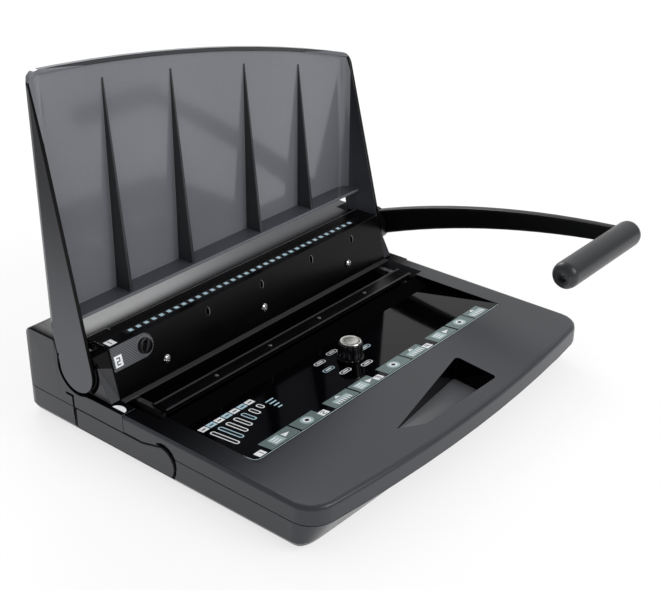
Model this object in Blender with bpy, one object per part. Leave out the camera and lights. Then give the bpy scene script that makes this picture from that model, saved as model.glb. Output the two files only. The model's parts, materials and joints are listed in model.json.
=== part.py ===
"""Manual wire binding machine: punch, wire closer, chip drawer, lid and pull handle.

Units are metres and +Z is up. Inside the machine frame X runs along the row of punched
holes, Y points to the rear and the hole marks on the punch cover lie at Y zero. The frame's
empty then moves everything, so that the world origin is the middle of the machine's
footprint at table level. The lid stands open and the handle points forward.
"""
import math

import bmesh
import bpy
from mathutils import Matrix, Vector

# Fits
GAP = 0.0003
RUNNING = 0.0003
OVERRUN = 0.002
ROUND_STEPS = 3

# Body shells
WALL = 0.0025
FOOT_HEIGHT = 0.004
PARTING_HEIGHT = 0.023
RIM_HEIGHT = 0.016
FRONT_BOW = 0.0132
FRONT_CORNER = 0.022
REAR_REACH = 0.083
REAR_CORNER = 0.012
SEAM_REACH = 0.037
RIM_ROUND = 0.0035
KEEL_ROUND = 0.007
KEEL_RISE = 0.005
HOUSING_DROP = 0.004
HOUSING_LEAN = 0.006
HOUSING_TOP_ROUND = 0.009

# Paper slot, dies and pins
HOLE_COUNT = 34
HOLE_PITCH = 0.0254 / 3
PIN_SIZE = 0.004
PIN_LENGTH = 0.0178
DIE_CLEARANCE = 0.00015
SLOT_FRONT = 0.0177
SLOT_WIDTH = 0.002
SLOT_FLOOR_DROP = 0.003
DIE_DEPTH = 0.0097
GUIDE_DEPTH = 0.0113
DIE_END_MARGIN = 0.0103
DIE_TOP_MARGIN = 0.0035
PUNCH_BAR_DEPTH = 0.010

# Punch cover of folded sheet
COVER_PIN_RISE = 0.010
COVER_FRONT = 0.009
COVER_LEAN = 0.0105
COVER_SHEET = 0.0013
COVER_LIP = 0.005
COVER_END_ROOM = 0.0084
COVER_SCREW_PITCH = 0.118
COVER_SCREW_DROP = 0.030
COVER_SCREW_HEAD = 0.0032
COVER_SCREW_HEAD_RISE = 0.0022
COVER_SCREW_SHANK = 0.002
COVER_SCREW_LENGTH = 0.0055
LOUVRE_PLACE_SHARES = (-0.373, 0.017, 0.408, 0.751)
LOUVRE_WIDTH = 0.0022
LOUVRE_HEIGHT = 0.007
LOUVRE_DROP = 0.010

# Drive: handle shaft, pinions and the two opposed racks
AXIS_BACK = 0.015
LID_EDGE_GAP = 0.0005
SHAFT_RADIUS = 0.005
GEAR_MODULE = 0.001
PINION_TEETH = 18
PINION_WIDTH = 0.005
FRAME_SHEET = 0.003
FRAME_REAR = 0.0335
FRAME_FRONT = 0.0135
FRAME_SHOULDER = 0.006
FRAME_TOP_DROP = 0.003
BUSH_WALL = 0.002
BUSH_FLANGE = 0.002
BUSH_FLANGE_WIDTH = 0.0015
RACK_SPAN_FORE = 0.0125
RACK_SPAN_AFT = 0.0065
RACK_BACKING = 0.0045
SIDE_PLAY = 0.002
SHAFT_END = 0.003
HANDLE_LIFT = 60

# Wire closer
CHASSIS_SHEET = 0.0025
CHASSIS_END_GAP = 0.0037
CHASSIS_CAM_ROOM = 0.0025
CHIP_OPENING_FRONT = 0.012
BED_THICKNESS = 0.0046
BED_FRONT = 0.0637
BED_REAR = 0.0143
ARM_HEIGHT = 0.005
ARM_FRONT = 0.0535
PLATE_SHEET = 0.0014
PLATE_FRONT = 0.062
PLATE_DEPTH = 0.019
PUSHER_THICKNESS = 0.0025
STRIP_SHEET = 0.001
STRIP_MARGIN = 0.0015
STRIP_END_INSET = 0.0033
STRIP_SCREW_PITCH = 0.065
STRIP_SCREW_HEAD = 0.002
STRIP_SCREW_SHANK = 0.0012
STRIP_SCREW_RISE = 0.0009
ANVIL_DEPTH = 0.006
RAIL_DEPTH = 0.006
RAIL_HEIGHT = 0.010

# Control panel in the sunk tray
PANEL_LEFT_RIM = 0.0213
PANEL_RIGHT_RIM = 0.0236
PANEL_LENGTH = 0.0947
PANEL_STEP = 0.014
PANEL_VALLEY_DROP = 0.008
PANEL_SHEET = 0.002
PANEL_REAR_DROP = 0.0018
POCKET_LEFT = 0.063
POCKET_RIGHT = 0.058
POCKET_SHOULDER = 0.0243
POCKET_SPAN = 0.044
POCKET_TIP_LAG = 0.016
POCKET_RIM = 0.017
POCKET_DEPTH = 0.020
POCKET_ROUND = 0.003

# Wire size knob
KNOB_X = 0.004
KNOB_SET_FORWARD = 0.033
KNOB_RADIUS = 0.0117
KNOB_HEIGHT = 0.0145
KNOB_FLUTES = 12
KNOB_FLUTE_DEPTH = 0.0009
KNOB_LIFT = 0.0012
CAP_RADIUS = 0.0093
CAP_HEIGHT = 0.0014
SPINDLE_RADIUS = 0.003
CAM_RADIUS = 0.0085
CAM_OFFSET = 0.0025
CAM_THICKNESS = 0.004
CAM_DROP = 0.016

# Paper side guide and its knob
GUIDE_KNOB_END_ROOM = 0.0337
GUIDE_KNOB_DROP = 0.0105
GUIDE_KNOB_RADIUS = 0.0065
GUIDE_KNOB_RISE = 0.0045
GUIDE_STEM_RADIUS = 0.0028
GUIDE_STEM_LENGTH = 0.003
GUIDE_PLATE_LENGTH = 0.033
GUIDE_PLATE_RADIUS = 0.0100
GUIDE_PLATE_SHEET = 0.001
GUIDE_STRAP_SHEET = 0.0022
GUIDE_STRAP_WIDTH = 0.008
GUIDE_TAB_WIDTH = 0.0015
GUIDE_LEG_THICKNESS = 0.002
GUIDE_LEG_HEIGHT = 0.011
GUIDE_TRAVEL = 0.0024

# End caps beside the punch unit
CAP_OUTER = 0.0095
CAP_LID_GAP = 0.001
CAP_SET_BACK = 0.018
CAP_TOP_DROP = 0.008
CAP_REAR = 0.033

# Lid
LID_ARM_RADIUS = 0.0195
LID_SHEET = 0.0035
LID_EDGE_SLOPE = 10.6
LID_RIGHT_EDGE_SLOPE = 14.3
LID_RIM_DEPTH = 0.002
LID_PANEL_BACK = 0.045
LID_PANEL_SHEET = 0.003
LID_LEDGE_RISE = 0.039
LID_LEDGE_SHEET = 0.003
LID_LEDGE_DEPTH = 0.0215
LID_REACH = 0.238
LID_SKEW = 0.066
LID_BOW = 0.0114
LID_CORNER = 0.012
LID_EDGE_ROUND = 0.007
LID_INNER_ROUND = 0.012
LID_ARC_GAP = 0.0015
LID_BUSH_RADIUS = 0.008
LID_BOSS_SKIN = 0.0009
RIB_X_SHARES = (-0.613, -0.231, 0.231, 0.613)
RIB_THICKNESS = 0.003
RIB_TOP_THICKNESS = 0.0016
RIB_TIP_DROP = 0.015
RIB_FOOT_SET_BACK = 0.001

# Pull handle
HUB_RADIUS = 0.017
HUB_LENGTH = 0.0085
HUB_GAP = 0.0012
ARM_REACH = 0.2775
ARM_PITCH = 13.3
ARM_SAG = 0.010
ARM_THICKNESS = 0.009
ARM_ROOT_DEPTH = 0.025
ARM_TIP_DEPTH = 0.0145
ARM_EDGE_ROUND = 0.0025
ARM_STATIONS = 14
TONGUE_DEPTH = 0.011
TONGUE_THICKNESS = 0.005
GRIP_RADIUS = 0.0118
GRIP_LENGTH = 0.121
GRIP_OVERHANG = 0.009
GRIP_END_ROUND = 0.008
BOLT_RADIUS = 0.0025
BOLT_HEAD_RADIUS = 0.004
BOLT_HEAD_LENGTH = 0.004
BOLT_RECESS = 0.006
HUB_SCREW_RADIUS = 0.007
HUB_SCREW_RISE = 0.003
HUB_SCREW_SHANK = 0.0025

# Chip drawer
DRAWER_REAR = 0.0195
DRAWER_NOSE_BACK = 0.078
DRAWER_NOSE_RADIUS = 0.0145
DRAWER_NOSE_RISE = 0.013
DRAWER_FACE_SHEET = 0.0027
DRAWER_FACE_DROP = 0.0045
DRAWER_WALL = 0.002
DRAWER_END_ROOM = 0.039
DRAWER_SIDE_MARGIN = 0.0035
DRAWER_TOP_MARGIN = 0.0015
RUNNER_HEIGHT = 0.0032
RUNNER_WIDTH = 0.004
RUNNER_INSET = 0.012
SUPPORT_WIDTH = 0.003
THUMB_CRESCENT = 0.0022
LATCH_GROOVE_WIDTH = 0.0016
LATCH_GROOVE_DEPTH = 0.0015
LATCH_GROOVE_RISE = 0.011
LATCH_HOOK = 0.009

# Feet
FOOT_RADIUS = 0.011
FOOT_STUD_RADIUS = 0.003
FOOT_SIDE_INSET = 0.034
FOOT_FRONT_INSET = 0.046
FOOT_REAR_INSET = 0.028

# Heights and places that follow from the sizes above
PARTING_Z = FOOT_HEIGHT + PARTING_HEIGHT
RIM_Z = PARTING_Z + RIM_HEIGHT
FLOOR_Z = FOOT_HEIGHT + WALL
AXIS_Z = RIM_Z + LID_EDGE_GAP + LID_ARM_RADIUS
PITCH_RADIUS = GEAR_MODULE * PINION_TEETH / 2
RACK_TRAVEL = PITCH_RADIUS * math.radians(HANDLE_LIFT)
SLOT_FLOOR_Z = AXIS_Z + SHAFT_RADIUS + SLOT_FLOOR_DROP
PIN_Z = SLOT_FLOOR_Z + PIN_SIZE + GEAR_MODULE
COVER_TOP_Z = PIN_Z + COVER_PIN_RISE
HOUSING_TOP_Z = COVER_TOP_Z - HOUSING_DROP
HALF_ROW = HOLE_PITCH * (HOLE_COUNT - 1) / 2
DIE_HALF_LENGTH = HALF_ROW + DIE_END_MARGIN
FRAME_X = DIE_HALF_LENGTH + GAP
RACK_X = FRAME_X + FRAME_SHEET + SIDE_PLAY
PLATE_HALF_LENGTH = RACK_X + PINION_WIDTH
STRIP_HALF_LENGTH = PLATE_HALF_LENGTH - STRIP_END_INSET
COVER_HALF_LENGTH = PLATE_HALF_LENGTH + SHAFT_END + COVER_END_ROOM
CHASSIS_HALF_LENGTH = COVER_HALF_LENGTH - CHASSIS_END_GAP
GUIDE_KNOB_X = GUIDE_KNOB_END_ROOM - COVER_HALF_LENGTH
HALF_WIDTH = COVER_HALF_LENGTH + GAP + CAP_OUTER + CAP_LID_GAP + LID_SHEET
DRAWER_LENGTH = HALF_WIDTH * 2 - DRAWER_END_ROOM
PANEL_LEFT = HALF_WIDTH - PANEL_LEFT_RIM
PANEL_RIGHT = HALF_WIDTH - PANEL_RIGHT_RIM
PANEL_REAR = BED_FRONT + GAP
PANEL_VALLEY = PANEL_REAR + PANEL_STEP
PANEL_FRONT = PANEL_REAR + PANEL_LENGTH
POCKET_REAR = PANEL_FRONT + POCKET_SHOULDER
POCKET_FRONT = POCKET_REAR + POCKET_SPAN
POCKET_TIP_BACK = POCKET_FRONT - POCKET_TIP_LAG
FRONT_REACH = POCKET_FRONT + POCKET_RIM
KNOB_BACK = PANEL_VALLEY + KNOB_SET_FORWARD
CHASSIS_FRONT = KNOB_BACK - CAM_RADIUS - CHASSIS_CAM_ROOM
CHASSIS_TOP_Z = PARTING_Z + GAP + CHASSIS_SHEET
BED_TOP_Z = CHASSIS_TOP_Z + GAP + BED_THICKNESS
ARM_BOTTOM_Z = BED_TOP_Z + RUNNING
ARM_TOP_Z = ARM_BOTTOM_Z + ARM_HEIGHT
PLATE_BOTTOM_Z = RIM_Z - PLATE_SHEET
PLATE_REAR = PLATE_FRONT - PLATE_DEPTH
COVER_BOTTOM_Z = RIM_Z
ARM_INNER_X = HALF_WIDTH + HUB_GAP + HUB_LENGTH
GRIP_RIGHT_X = ARM_INNER_X + ARM_THICKNESS + GRIP_OVERHANG
GRIP_LEFT_X = GRIP_RIGHT_X - GRIP_LENGTH
GRIP_Y = AXIS_BACK - ARM_REACH * math.cos(math.radians(ARM_PITCH))
GRIP_Z = AXIS_Z + ARM_REACH * math.sin(math.radians(ARM_PITCH))
DRAWER_FACE_Z = FOOT_HEIGHT + DRAWER_FACE_DROP
DRAWER_BOTTOM_Z = FLOOR_Z + RUNNER_HEIGHT + RUNNING
DRAWER_NOSE_Z = FOOT_HEIGHT + DRAWER_NOSE_RISE
WORLD_SHIFT = Vector((-(GRIP_RIGHT_X - HALF_WIDTH) / 2, -(REAR_REACH + GRIP_Y - GRIP_RADIUS) / 2, 0))

PALETTE = {
    "body_plastic": ((0.092, 0.093, 0.099), 0.45, 0.0),
    "lid_plastic": ((0.155, 0.157, 0.165), 0.12, 0.0),
    "gloss_black": ((0.010, 0.010, 0.012), 0.10, 0.0),
    "painted_steel": ((0.018, 0.018, 0.020), 0.35, 0.3),
    "bright_steel": ((0.56, 0.57, 0.58), 0.28, 1.0),
    "bronze": ((0.43, 0.29, 0.13), 0.35, 1.0),
    "dark_arm": ((0.020, 0.020, 0.022), 0.40, 0.0),
    "grip_rubber": ((0.060, 0.061, 0.066), 0.60, 0.0),
    "silver": ((0.72, 0.72, 0.70), 0.25, 1.0),
    "grey_plate": ((0.22, 0.22, 0.24), 0.50, 0.0),
    "foot_rubber": ((0.015, 0.015, 0.015), 0.85, 0.0),
}


def make_material(name):
    """Principled material of the palette, made once."""
    found = bpy.data.materials.get(name)
    if found:
        return found
    colour, roughness, metallic = PALETTE[name]
    made = bpy.data.materials.new(name)
    made.use_nodes = True
    shader = made.node_tree.nodes["Principled BSDF"]
    shader.inputs["Base Color"].default_value = (*colour, 1.0)
    shader.inputs["Roughness"].default_value = roughness
    shader.inputs["Metallic"].default_value = metallic
    return made


def add_solid(name, vertices, faces, finish=None, smooth=False):
    """Object in the machine frame from points and faces, with its faces turned outwards."""
    mesh = bpy.data.meshes.new(name)
    work = bmesh.new()
    points = [work.verts.new(point) for point in vertices]
    for face in faces:
        work.faces.new([points[index] for index in face])
    bmesh.ops.recalc_face_normals(work, faces=work.faces)
    work.to_mesh(mesh)
    work.free()
    solid = bpy.data.objects.new(name, mesh)
    bpy.context.collection.objects.link(solid)
    if finish:
        mesh.materials.append(make_material(finish))
    if smooth:
        mesh.shade_smooth()
        mesh.set_sharp_from_angle(angle=math.radians(35))
    return solid


def place(axis, first, second, along):
    """Point from two outline coordinates and a distance along the extrusion axis."""
    if axis == "X":
        return (along, first, second)
    if axis == "Y":
        return (first, along, second)
    return (first, second, along)


def loft(name, rings, finish=None, smooth=False, closed=False):
    """Skin rings of equal length; the end rings are capped unless the loft is closed."""
    count = len(rings[0])
    vertices = [point for ring in rings for point in ring]
    faces = []
    last = len(rings) if closed else len(rings) - 1
    for row in range(last):
        base = row * count
        above = ((row + 1) % len(rings)) * count
        for index in range(count):
            after = (index + 1) % count
            faces.append((base + index, base + after, above + after, above + index))
    if not closed:
        faces.append(tuple(range(count)))
        faces.append(tuple(range(len(vertices) - count, len(vertices))))
    return add_solid(name, vertices, faces, finish, smooth)


def prism(name, outline, axis, start, end, finish=None, smooth=False):
    """Extrusion of an outline along X, Y or Z."""
    rings = [[place(axis, first, second, along) for first, second in outline] for along in (start, end)]
    return loft(name, rings, finish, smooth)


def box(name, x_range, y_range, z_range, finish=None):
    """Rectangular block."""
    (left, right), (front, rear), (low, high) = x_range, y_range, z_range
    outline = [(left, front), (right, front), (right, rear), (left, rear)]
    return prism(name, outline, "Z", low, high, finish)


def rounded(corners, steps=ROUND_STEPS):
    """Outline through (u, v, radius) corners, each radius drawn as an arc of short chords."""
    outline = []
    count = len(corners)
    for index, (first, second, radius) in enumerate(corners):
        if not radius:
            outline.append((first, second))
            continue
        here = Vector((first, second))
        before = (Vector(corners[index - 1][:2]) - here).normalized()
        after = (Vector(corners[(index + 1) % count][:2]) - here).normalized()
        half = before.angle(after) / 2
        middle = here + (before + after).normalized() * (radius / math.sin(half))
        start = here + before * (radius / math.tan(half)) - middle
        end = here + after * (radius / math.tan(half)) - middle
        sweep = math.atan2(start.x * end.y - start.y * end.x, start.dot(end))
        for step in range(steps + 1):
            turned = start.copy()
            turned.rotate(Matrix.Rotation(sweep * step / steps, 2))
            outline.append(tuple(middle + turned))
    return outline


def circle(centre, radius, count, start=0.0):
    """Points round a circle in outline coordinates."""
    turns = [start + 2 * math.pi * index / count for index in range(count)]
    return [(centre[0] + radius * math.cos(turn), centre[1] + radius * math.sin(turn)) for turn in turns]


def arc(centre, radius, start, end, steps):
    """Points along an arc between two angles in degrees."""
    angles = [math.radians(start + (end - start) * step / steps) for step in range(steps + 1)]
    return [(centre[0] + radius * math.cos(turn), centre[1] + radius * math.sin(turn)) for turn in angles]


def turned(name, profile, axis, centre, count, finish=None, smooth=True):
    """Turned piece: (along, radius) profile from end to end round an axis, ends capped flat."""
    rings = []
    for along, radius in profile:
        ring = circle(centre, radius, count)
        rings.append([place(axis, first, second, along) for first, second in ring])
    return loft(name, rings, finish, smooth)


def combine(target, tool, operation):
    """Boolean with another object, which then stays as a wire guide."""
    step = target.modifiers.new(tool.name, "BOOLEAN")
    step.operation = operation
    step.solver = "EXACT"
    step.object = tool
    tool.hide_render = True
    tool.display_type = "WIRE"


def cut(target, tool):
    """Take the tool's volume away."""
    combine(target, tool, "DIFFERENCE")


def fuse(target, tool):
    """Add the tool's volume."""
    combine(target, tool, "UNION")


def keep_inside(target, tool):
    """Keep only what lies inside the tool."""
    combine(target, tool, "INTERSECT")


def body_outline(inset, rear, rear_inset, rear_corner):
    """Plan of the body: straight sides, round corners and a bowed front, inset evenly."""
    half = HALF_WIDTH
    bow_radius = (half ** 2 + FRONT_BOW ** 2) / (2 * FRONT_BOW)
    bow_centre = -FRONT_REACH + bow_radius
    corner_x = half - FRONT_CORNER
    corner_y = bow_centre - math.sqrt((bow_radius - FRONT_CORNER) ** 2 - corner_x ** 2)
    bow_edge = math.degrees(math.atan2(corner_x, bow_centre - corner_y))
    radius = FRONT_CORNER - inset
    right = [(half - inset, rear - rear_inset)]
    if rear_corner:
        middle = (half - rear_corner, rear - rear_corner)
        right = arc(middle, rear_corner - inset, 90, 0, ROUND_STEPS)
    right += arc((corner_x, corner_y), radius, 0, -90 + bow_edge, ROUND_STEPS + 2)
    front = arc((0, bow_centre), bow_radius - inset, -90 + bow_edge, -90 - bow_edge, 10)[1:-1]
    left = [(-x, y) for x, y in reversed(right)]
    return right + front + left


def at_height(outline, height):
    """Lay an outline flat at a height."""
    return [(x, y, height) for x, y in outline]


def body_ring(inset, height, rear=REAR_REACH, rear_inset=None, rear_corner=REAR_CORNER):
    """Plan outline of the body at one height."""
    if rear_inset is None:
        rear_inset = inset
    return at_height(body_outline(inset, rear, rear_inset, rear_corner), height)


def build_base_pan():
    """Lower shell with drawer mouth, drawer runners, chassis supports and foot sockets."""
    keel_z = FOOT_HEIGHT + KEEL_RISE
    rings = [
        body_ring(KEEL_ROUND, FOOT_HEIGHT),
        body_ring(KEEL_ROUND / 3, FOOT_HEIGHT + KEEL_RISE / 4),
        body_ring(0, keel_z),
        body_ring(0, PARTING_Z - GAP),
        body_ring(WALL, PARTING_Z - GAP),
        body_ring(WALL, keel_z),
        body_ring(WALL + KEEL_ROUND, FLOOR_Z),
    ]
    pan = loft("base_pan", rings, "body_plastic")
    for side, name in ((-DRAWER_NOSE_BACK + RUNNER_INSET, "front"), (DRAWER_REAR - RUNNER_INSET, "rear")):
        runner = box(
            "pan_runner_" + name,
            (-HALF_WIDTH + WALL * 2, CHASSIS_HALF_LENGTH),
            (side - RUNNER_WIDTH / 2, side + RUNNER_WIDTH / 2),
            (FLOOR_Z - WALL / 2, FLOOR_Z + RUNNER_HEIGHT),
        )
        fuse(pan, runner)
    supports = (
        (-CHASSIS_FRONT + GAP, -CHASSIS_FRONT + SUPPORT_WIDTH),
        (DRAWER_REAR + SUPPORT_WIDTH, DRAWER_REAR + SUPPORT_WIDTH * 2),
    )
    for index, span in enumerate(supports):
        wall = box(
            f"pan_support_{index}",
            (-CHASSIS_HALF_LENGTH, CHASSIS_HALF_LENGTH),
            span,
            (FLOOR_Z - WALL / 2, PARTING_Z),
        )
        fuse(pan, wall)
    mouth = box(
        "pan_drawer_mouth",
        (-HALF_WIDTH - OVERRUN, -HALF_WIDTH + WALL + OVERRUN),
        (-DRAWER_NOSE_BACK - DRAWER_SIDE_MARGIN - GAP * 2, DRAWER_REAR - DRAWER_SIDE_MARGIN + GAP * 2),
        (DRAWER_BOTTOM_Z - GAP, PARTING_Z + OVERRUN),
    )
    cut(pan, mouth)
    cut(pan, drawer_face_recess("pan_face_recess"))
    cut(pan, latch_groove("pan_latch_groove"))
    for name, x, y in foot_places():
        socket = turned(
            "pan_socket_" + name,
            [(FOOT_HEIGHT - OVERRUN, FOOT_STUD_RADIUS + GAP), (FLOOR_Z + OVERRUN, FOOT_STUD_RADIUS + GAP)],
            "Z", (x, y), 12,
        )
        cut(pan, socket)
    return pan


def foot_places():
    """Names and plan positions of the four feet."""
    places = []
    for depth, y in (("front", -FRONT_REACH + FOOT_FRONT_INSET), ("rear", REAR_REACH - FOOT_REAR_INSET)):
        for side, sign in (("left", -1), ("right", 1)):
            places.append((f"{depth}_{side}", sign * (HALF_WIDTH - FOOT_SIDE_INSET), y))
    return places


def build_feet():
    """Rubber feet with studs pressed into the pan."""
    top = FOOT_HEIGHT - GAP
    for name, x, y in foot_places():
        profile = [
            (0, FOOT_RADIUS - RIM_ROUND / 3), (RIM_ROUND / 3, FOOT_RADIUS), (top, FOOT_RADIUS),
            (top, FOOT_STUD_RADIUS), (FLOOR_Z, FOOT_STUD_RADIUS),
        ]
        turned("foot_" + name, profile, "Z", (x, y), 20, "foot_rubber")


def drawer_face_outline(grow, crescent=0.0):
    """Side view of the drawer face, (y, z): square rear end and a round nose at the front."""
    nose = (-DRAWER_NOSE_BACK - crescent, DRAWER_NOSE_Z)
    radius = DRAWER_NOSE_RADIUS + grow
    low = DRAWER_FACE_Z - grow
    top = PARTING_Z - GAP + grow - RUNNING
    rear = DRAWER_REAR + grow
    fall = math.degrees(math.asin((low - nose[1]) / radius))
    rise = math.degrees(math.asin(min((top - nose[1]) / radius, 1.0)))
    climb = nose[0] + DRAWER_NOSE_RADIUS / 3
    points = [(rear, low)]
    points += reversed(arc(nose, radius, 95, 360 - 180 - fall, 9))
    points[1:] = [point for point in points[1:]]
    points.append((climb + DRAWER_NOSE_RADIUS * 2 / 3 + radius * math.cos(math.radians(rise)) / 2, top))
    points.append((rear, top))
    return points


def drawer_face_recess(name):
    """Sunk seat of the drawer face in the left side, with a thumb crescent round its nose."""
    outline = drawer_face_outline(RUNNING + THUMB_CRESCENT / 2, THUMB_CRESCENT / 2)
    return prism(name, outline, "X", -HALF_WIDTH - OVERRUN, -HALF_WIDTH + DRAWER_FACE_SHEET + GAP * 2)


def latch_groove(name):
    """Hooked groove of the drawer latch behind the drawer face."""
    rear = DRAWER_REAR + LATCH_GROOVE_WIDTH
    top = PARTING_Z + LATCH_GROOVE_RISE
    outline = [
        (rear, DRAWER_FACE_Z + LATCH_GROOVE_RISE), (rear + LATCH_GROOVE_WIDTH, DRAWER_FACE_Z + LATCH_GROOVE_RISE),
        (rear + LATCH_GROOVE_WIDTH, top - LATCH_GROOVE_WIDTH), (rear + LATCH_HOOK, top - LATCH_GROOVE_WIDTH),
        (rear + LATCH_HOOK, top), (rear, top),
    ]
    return prism(name, outline, "X", -HALF_WIDTH - OVERRUN, -HALF_WIDTH + LATCH_GROOVE_DEPTH)


def panel_height(back):
    """Height of the panel's top face at a distance in front of the hole marks."""
    slope = PANEL_VALLEY_DROP / (PANEL_FRONT - PANEL_VALLEY)
    return RIM_Z - PANEL_VALLEY_DROP + slope * (back - PANEL_VALLEY)


def build_front_cover():
    """Upper front shell: bowed rim, sunk tray for the panel and the finger pocket."""
    seam = -SEAM_REACH - GAP / 2
    plan = {"rear": seam, "rear_inset": 0, "rear_corner": 0}
    rings = [body_ring(0, PARTING_Z, **plan)]
    for step in range(ROUND_STEPS + 1):
        turn = math.pi / 2 * step / ROUND_STEPS
        inset = RIM_ROUND * (1 - math.cos(turn))
        rings.append(body_ring(inset, RIM_Z - RIM_ROUND * (1 - math.sin(turn)), **plan))
    cover = loft("front_cover", rings, "body_plastic")
    fuse(cover, pocket_solid("cover_pocket_shell", WALL))
    seat_front = -PANEL_FRONT - GAP
    tray_floor = [
        (seat_front, RIM_Z + OVERRUN),
        (seat_front, RIM_Z - PANEL_SHEET - GAP),
        (-PANEL_VALLEY, RIM_Z - PANEL_VALLEY_DROP - PANEL_SHEET - GAP),
        (-PANEL_REAR, RIM_Z - PANEL_REAR_DROP - PANEL_SHEET - GAP),
        (-PANEL_REAR, RIM_Z + OVERRUN),
    ]
    cut(cover, prism("cover_tray", tray_floor, "X", -PANEL_LEFT - GAP, PANEL_RIGHT + GAP))
    bay = [
        (-PANEL_REAR, PARTING_Z - OVERRUN), (-PANEL_REAR, RIM_Z + OVERRUN),
        (OVERRUN, RIM_Z + OVERRUN), (OVERRUN, PARTING_Z - OVERRUN),
    ]
    bay_half = COVER_HALF_LENGTH + GAP
    cut(cover, prism("cover_bay", bay, "X", -bay_half, bay_half))
    hollow_rings = [
        body_ring(WALL, PARTING_Z - OVERRUN, **plan),
        body_ring(WALL, RIM_Z - WALL, **plan),
    ]
    hollow = loft("cover_hollow", hollow_rings)
    under = [
        (-FRONT_REACH, PARTING_Z - OVERRUN), (-FRONT_REACH, RIM_Z - WALL),
        (seat_front - WALL, RIM_Z - WALL),
        (seat_front - WALL, RIM_Z - PANEL_SHEET - WALL - GAP),
        (-PANEL_VALLEY, RIM_Z - PANEL_VALLEY_DROP - PANEL_SHEET - WALL),
        (-PANEL_REAR, RIM_Z - PANEL_VALLEY_DROP - PANEL_SHEET - WALL),
        (-PANEL_REAR, PARTING_Z - OVERRUN),
    ]
    keep_inside(hollow, prism("cover_under", under, "X", -HALF_WIDTH, HALF_WIDTH))
    pocket_floor = pocket_solid("cover_pocket_well", WALL)
    cut(hollow, pocket_floor)
    cut(cover, hollow)
    cut(cover, pocket_solid("cover_pocket", 0))
    stem_hole = turned(
        "cover_stem_hole",
        [(PARTING_Z, SPINDLE_RADIUS + GAP), (RIM_Z, SPINDLE_RADIUS + GAP)],
        "Z", (KNOB_X, -KNOB_BACK), 16,
    )
    cut(cover, stem_hole)
    cut(cover, drawer_face_recess("cover_face_recess"))
    return cover


def pocket_solid(name, grow):
    """Finger pocket: four-sided mouth, floor falling from the left tip to the deep right end."""
    corners = [
        (-POCKET_LEFT - grow, -POCKET_TIP_BACK, 0),
        (-POCKET_LEFT * 2 / 3, -POCKET_FRONT + POCKET_ROUND - grow, POCKET_ROUND),
        (POCKET_RIGHT - POCKET_ROUND * 2 + grow, -POCKET_FRONT - grow, POCKET_ROUND),
        (POCKET_RIGHT + grow, -POCKET_REAR + grow, POCKET_ROUND),
    ]
    mouth = rounded(corners)
    top = RIM_Z + OVERRUN if not grow else RIM_Z - WALL / 2
    shallow = RIM_Z - POCKET_ROUND / 3 - grow
    deep = RIM_Z - POCKET_DEPTH - grow
    reach = POCKET_LEFT + POCKET_RIGHT
    valley = POCKET_RIGHT * 2 / 3
    lower = []
    for x, y in mouth:
        share = min((x + POCKET_LEFT) / (valley + POCKET_LEFT), 1.0)
        share = max(share, 0.0)
        lower.append((x - (x + POCKET_LEFT) / reach * POCKET_ROUND, y, shallow + (deep - shallow) * share))
    upper = [(x, y, top) for x, y in mouth]
    count = len(mouth)
    vertices = lower + upper
    faces = [tuple(range(count, 2 * count))]
    for index in range(count):
        after = (index + 1) % count
        faces.append((index, after, count + after, count + index))
    for index in range(1, count - 1):
        faces.append((0, index, index + 1))
    return add_solid(name, vertices, faces)


def build_panel():
    """Glossy panel lying in the tray: it falls to a valley and climbs again to the closer."""
    top = [
        (-PANEL_FRONT, RIM_Z), (-PANEL_VALLEY, RIM_Z - PANEL_VALLEY_DROP),
        (-PANEL_REAR - GAP, RIM_Z - PANEL_REAR_DROP),
    ]
    outline = [(y, z - PANEL_SHEET) for y, z in reversed(top)] + top
    panel = prism("instruction_panel", outline, "X", -PANEL_LEFT, PANEL_RIGHT, "gloss_black")
    hole = turned(
        "panel_stem_hole",
        [(PARTING_Z, SPINDLE_RADIUS + GAP), (RIM_Z, SPINDLE_RADIUS + GAP)],
        "Z", (KNOB_X, -KNOB_BACK), 16,
    )
    cut(panel, hole)
    return panel


def lid_back_y(height):
    """Y of the lid arms' rear edge, which leans back from the axis up to the ledge."""
    low = AXIS_BACK + LID_ARM_RADIUS
    rise = LID_LEDGE_RISE - LID_LEDGE_SHEET
    return low + (LID_PANEL_BACK - LID_PANEL_SHEET - low) * max(height - AXIS_Z, 0) / rise


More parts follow.
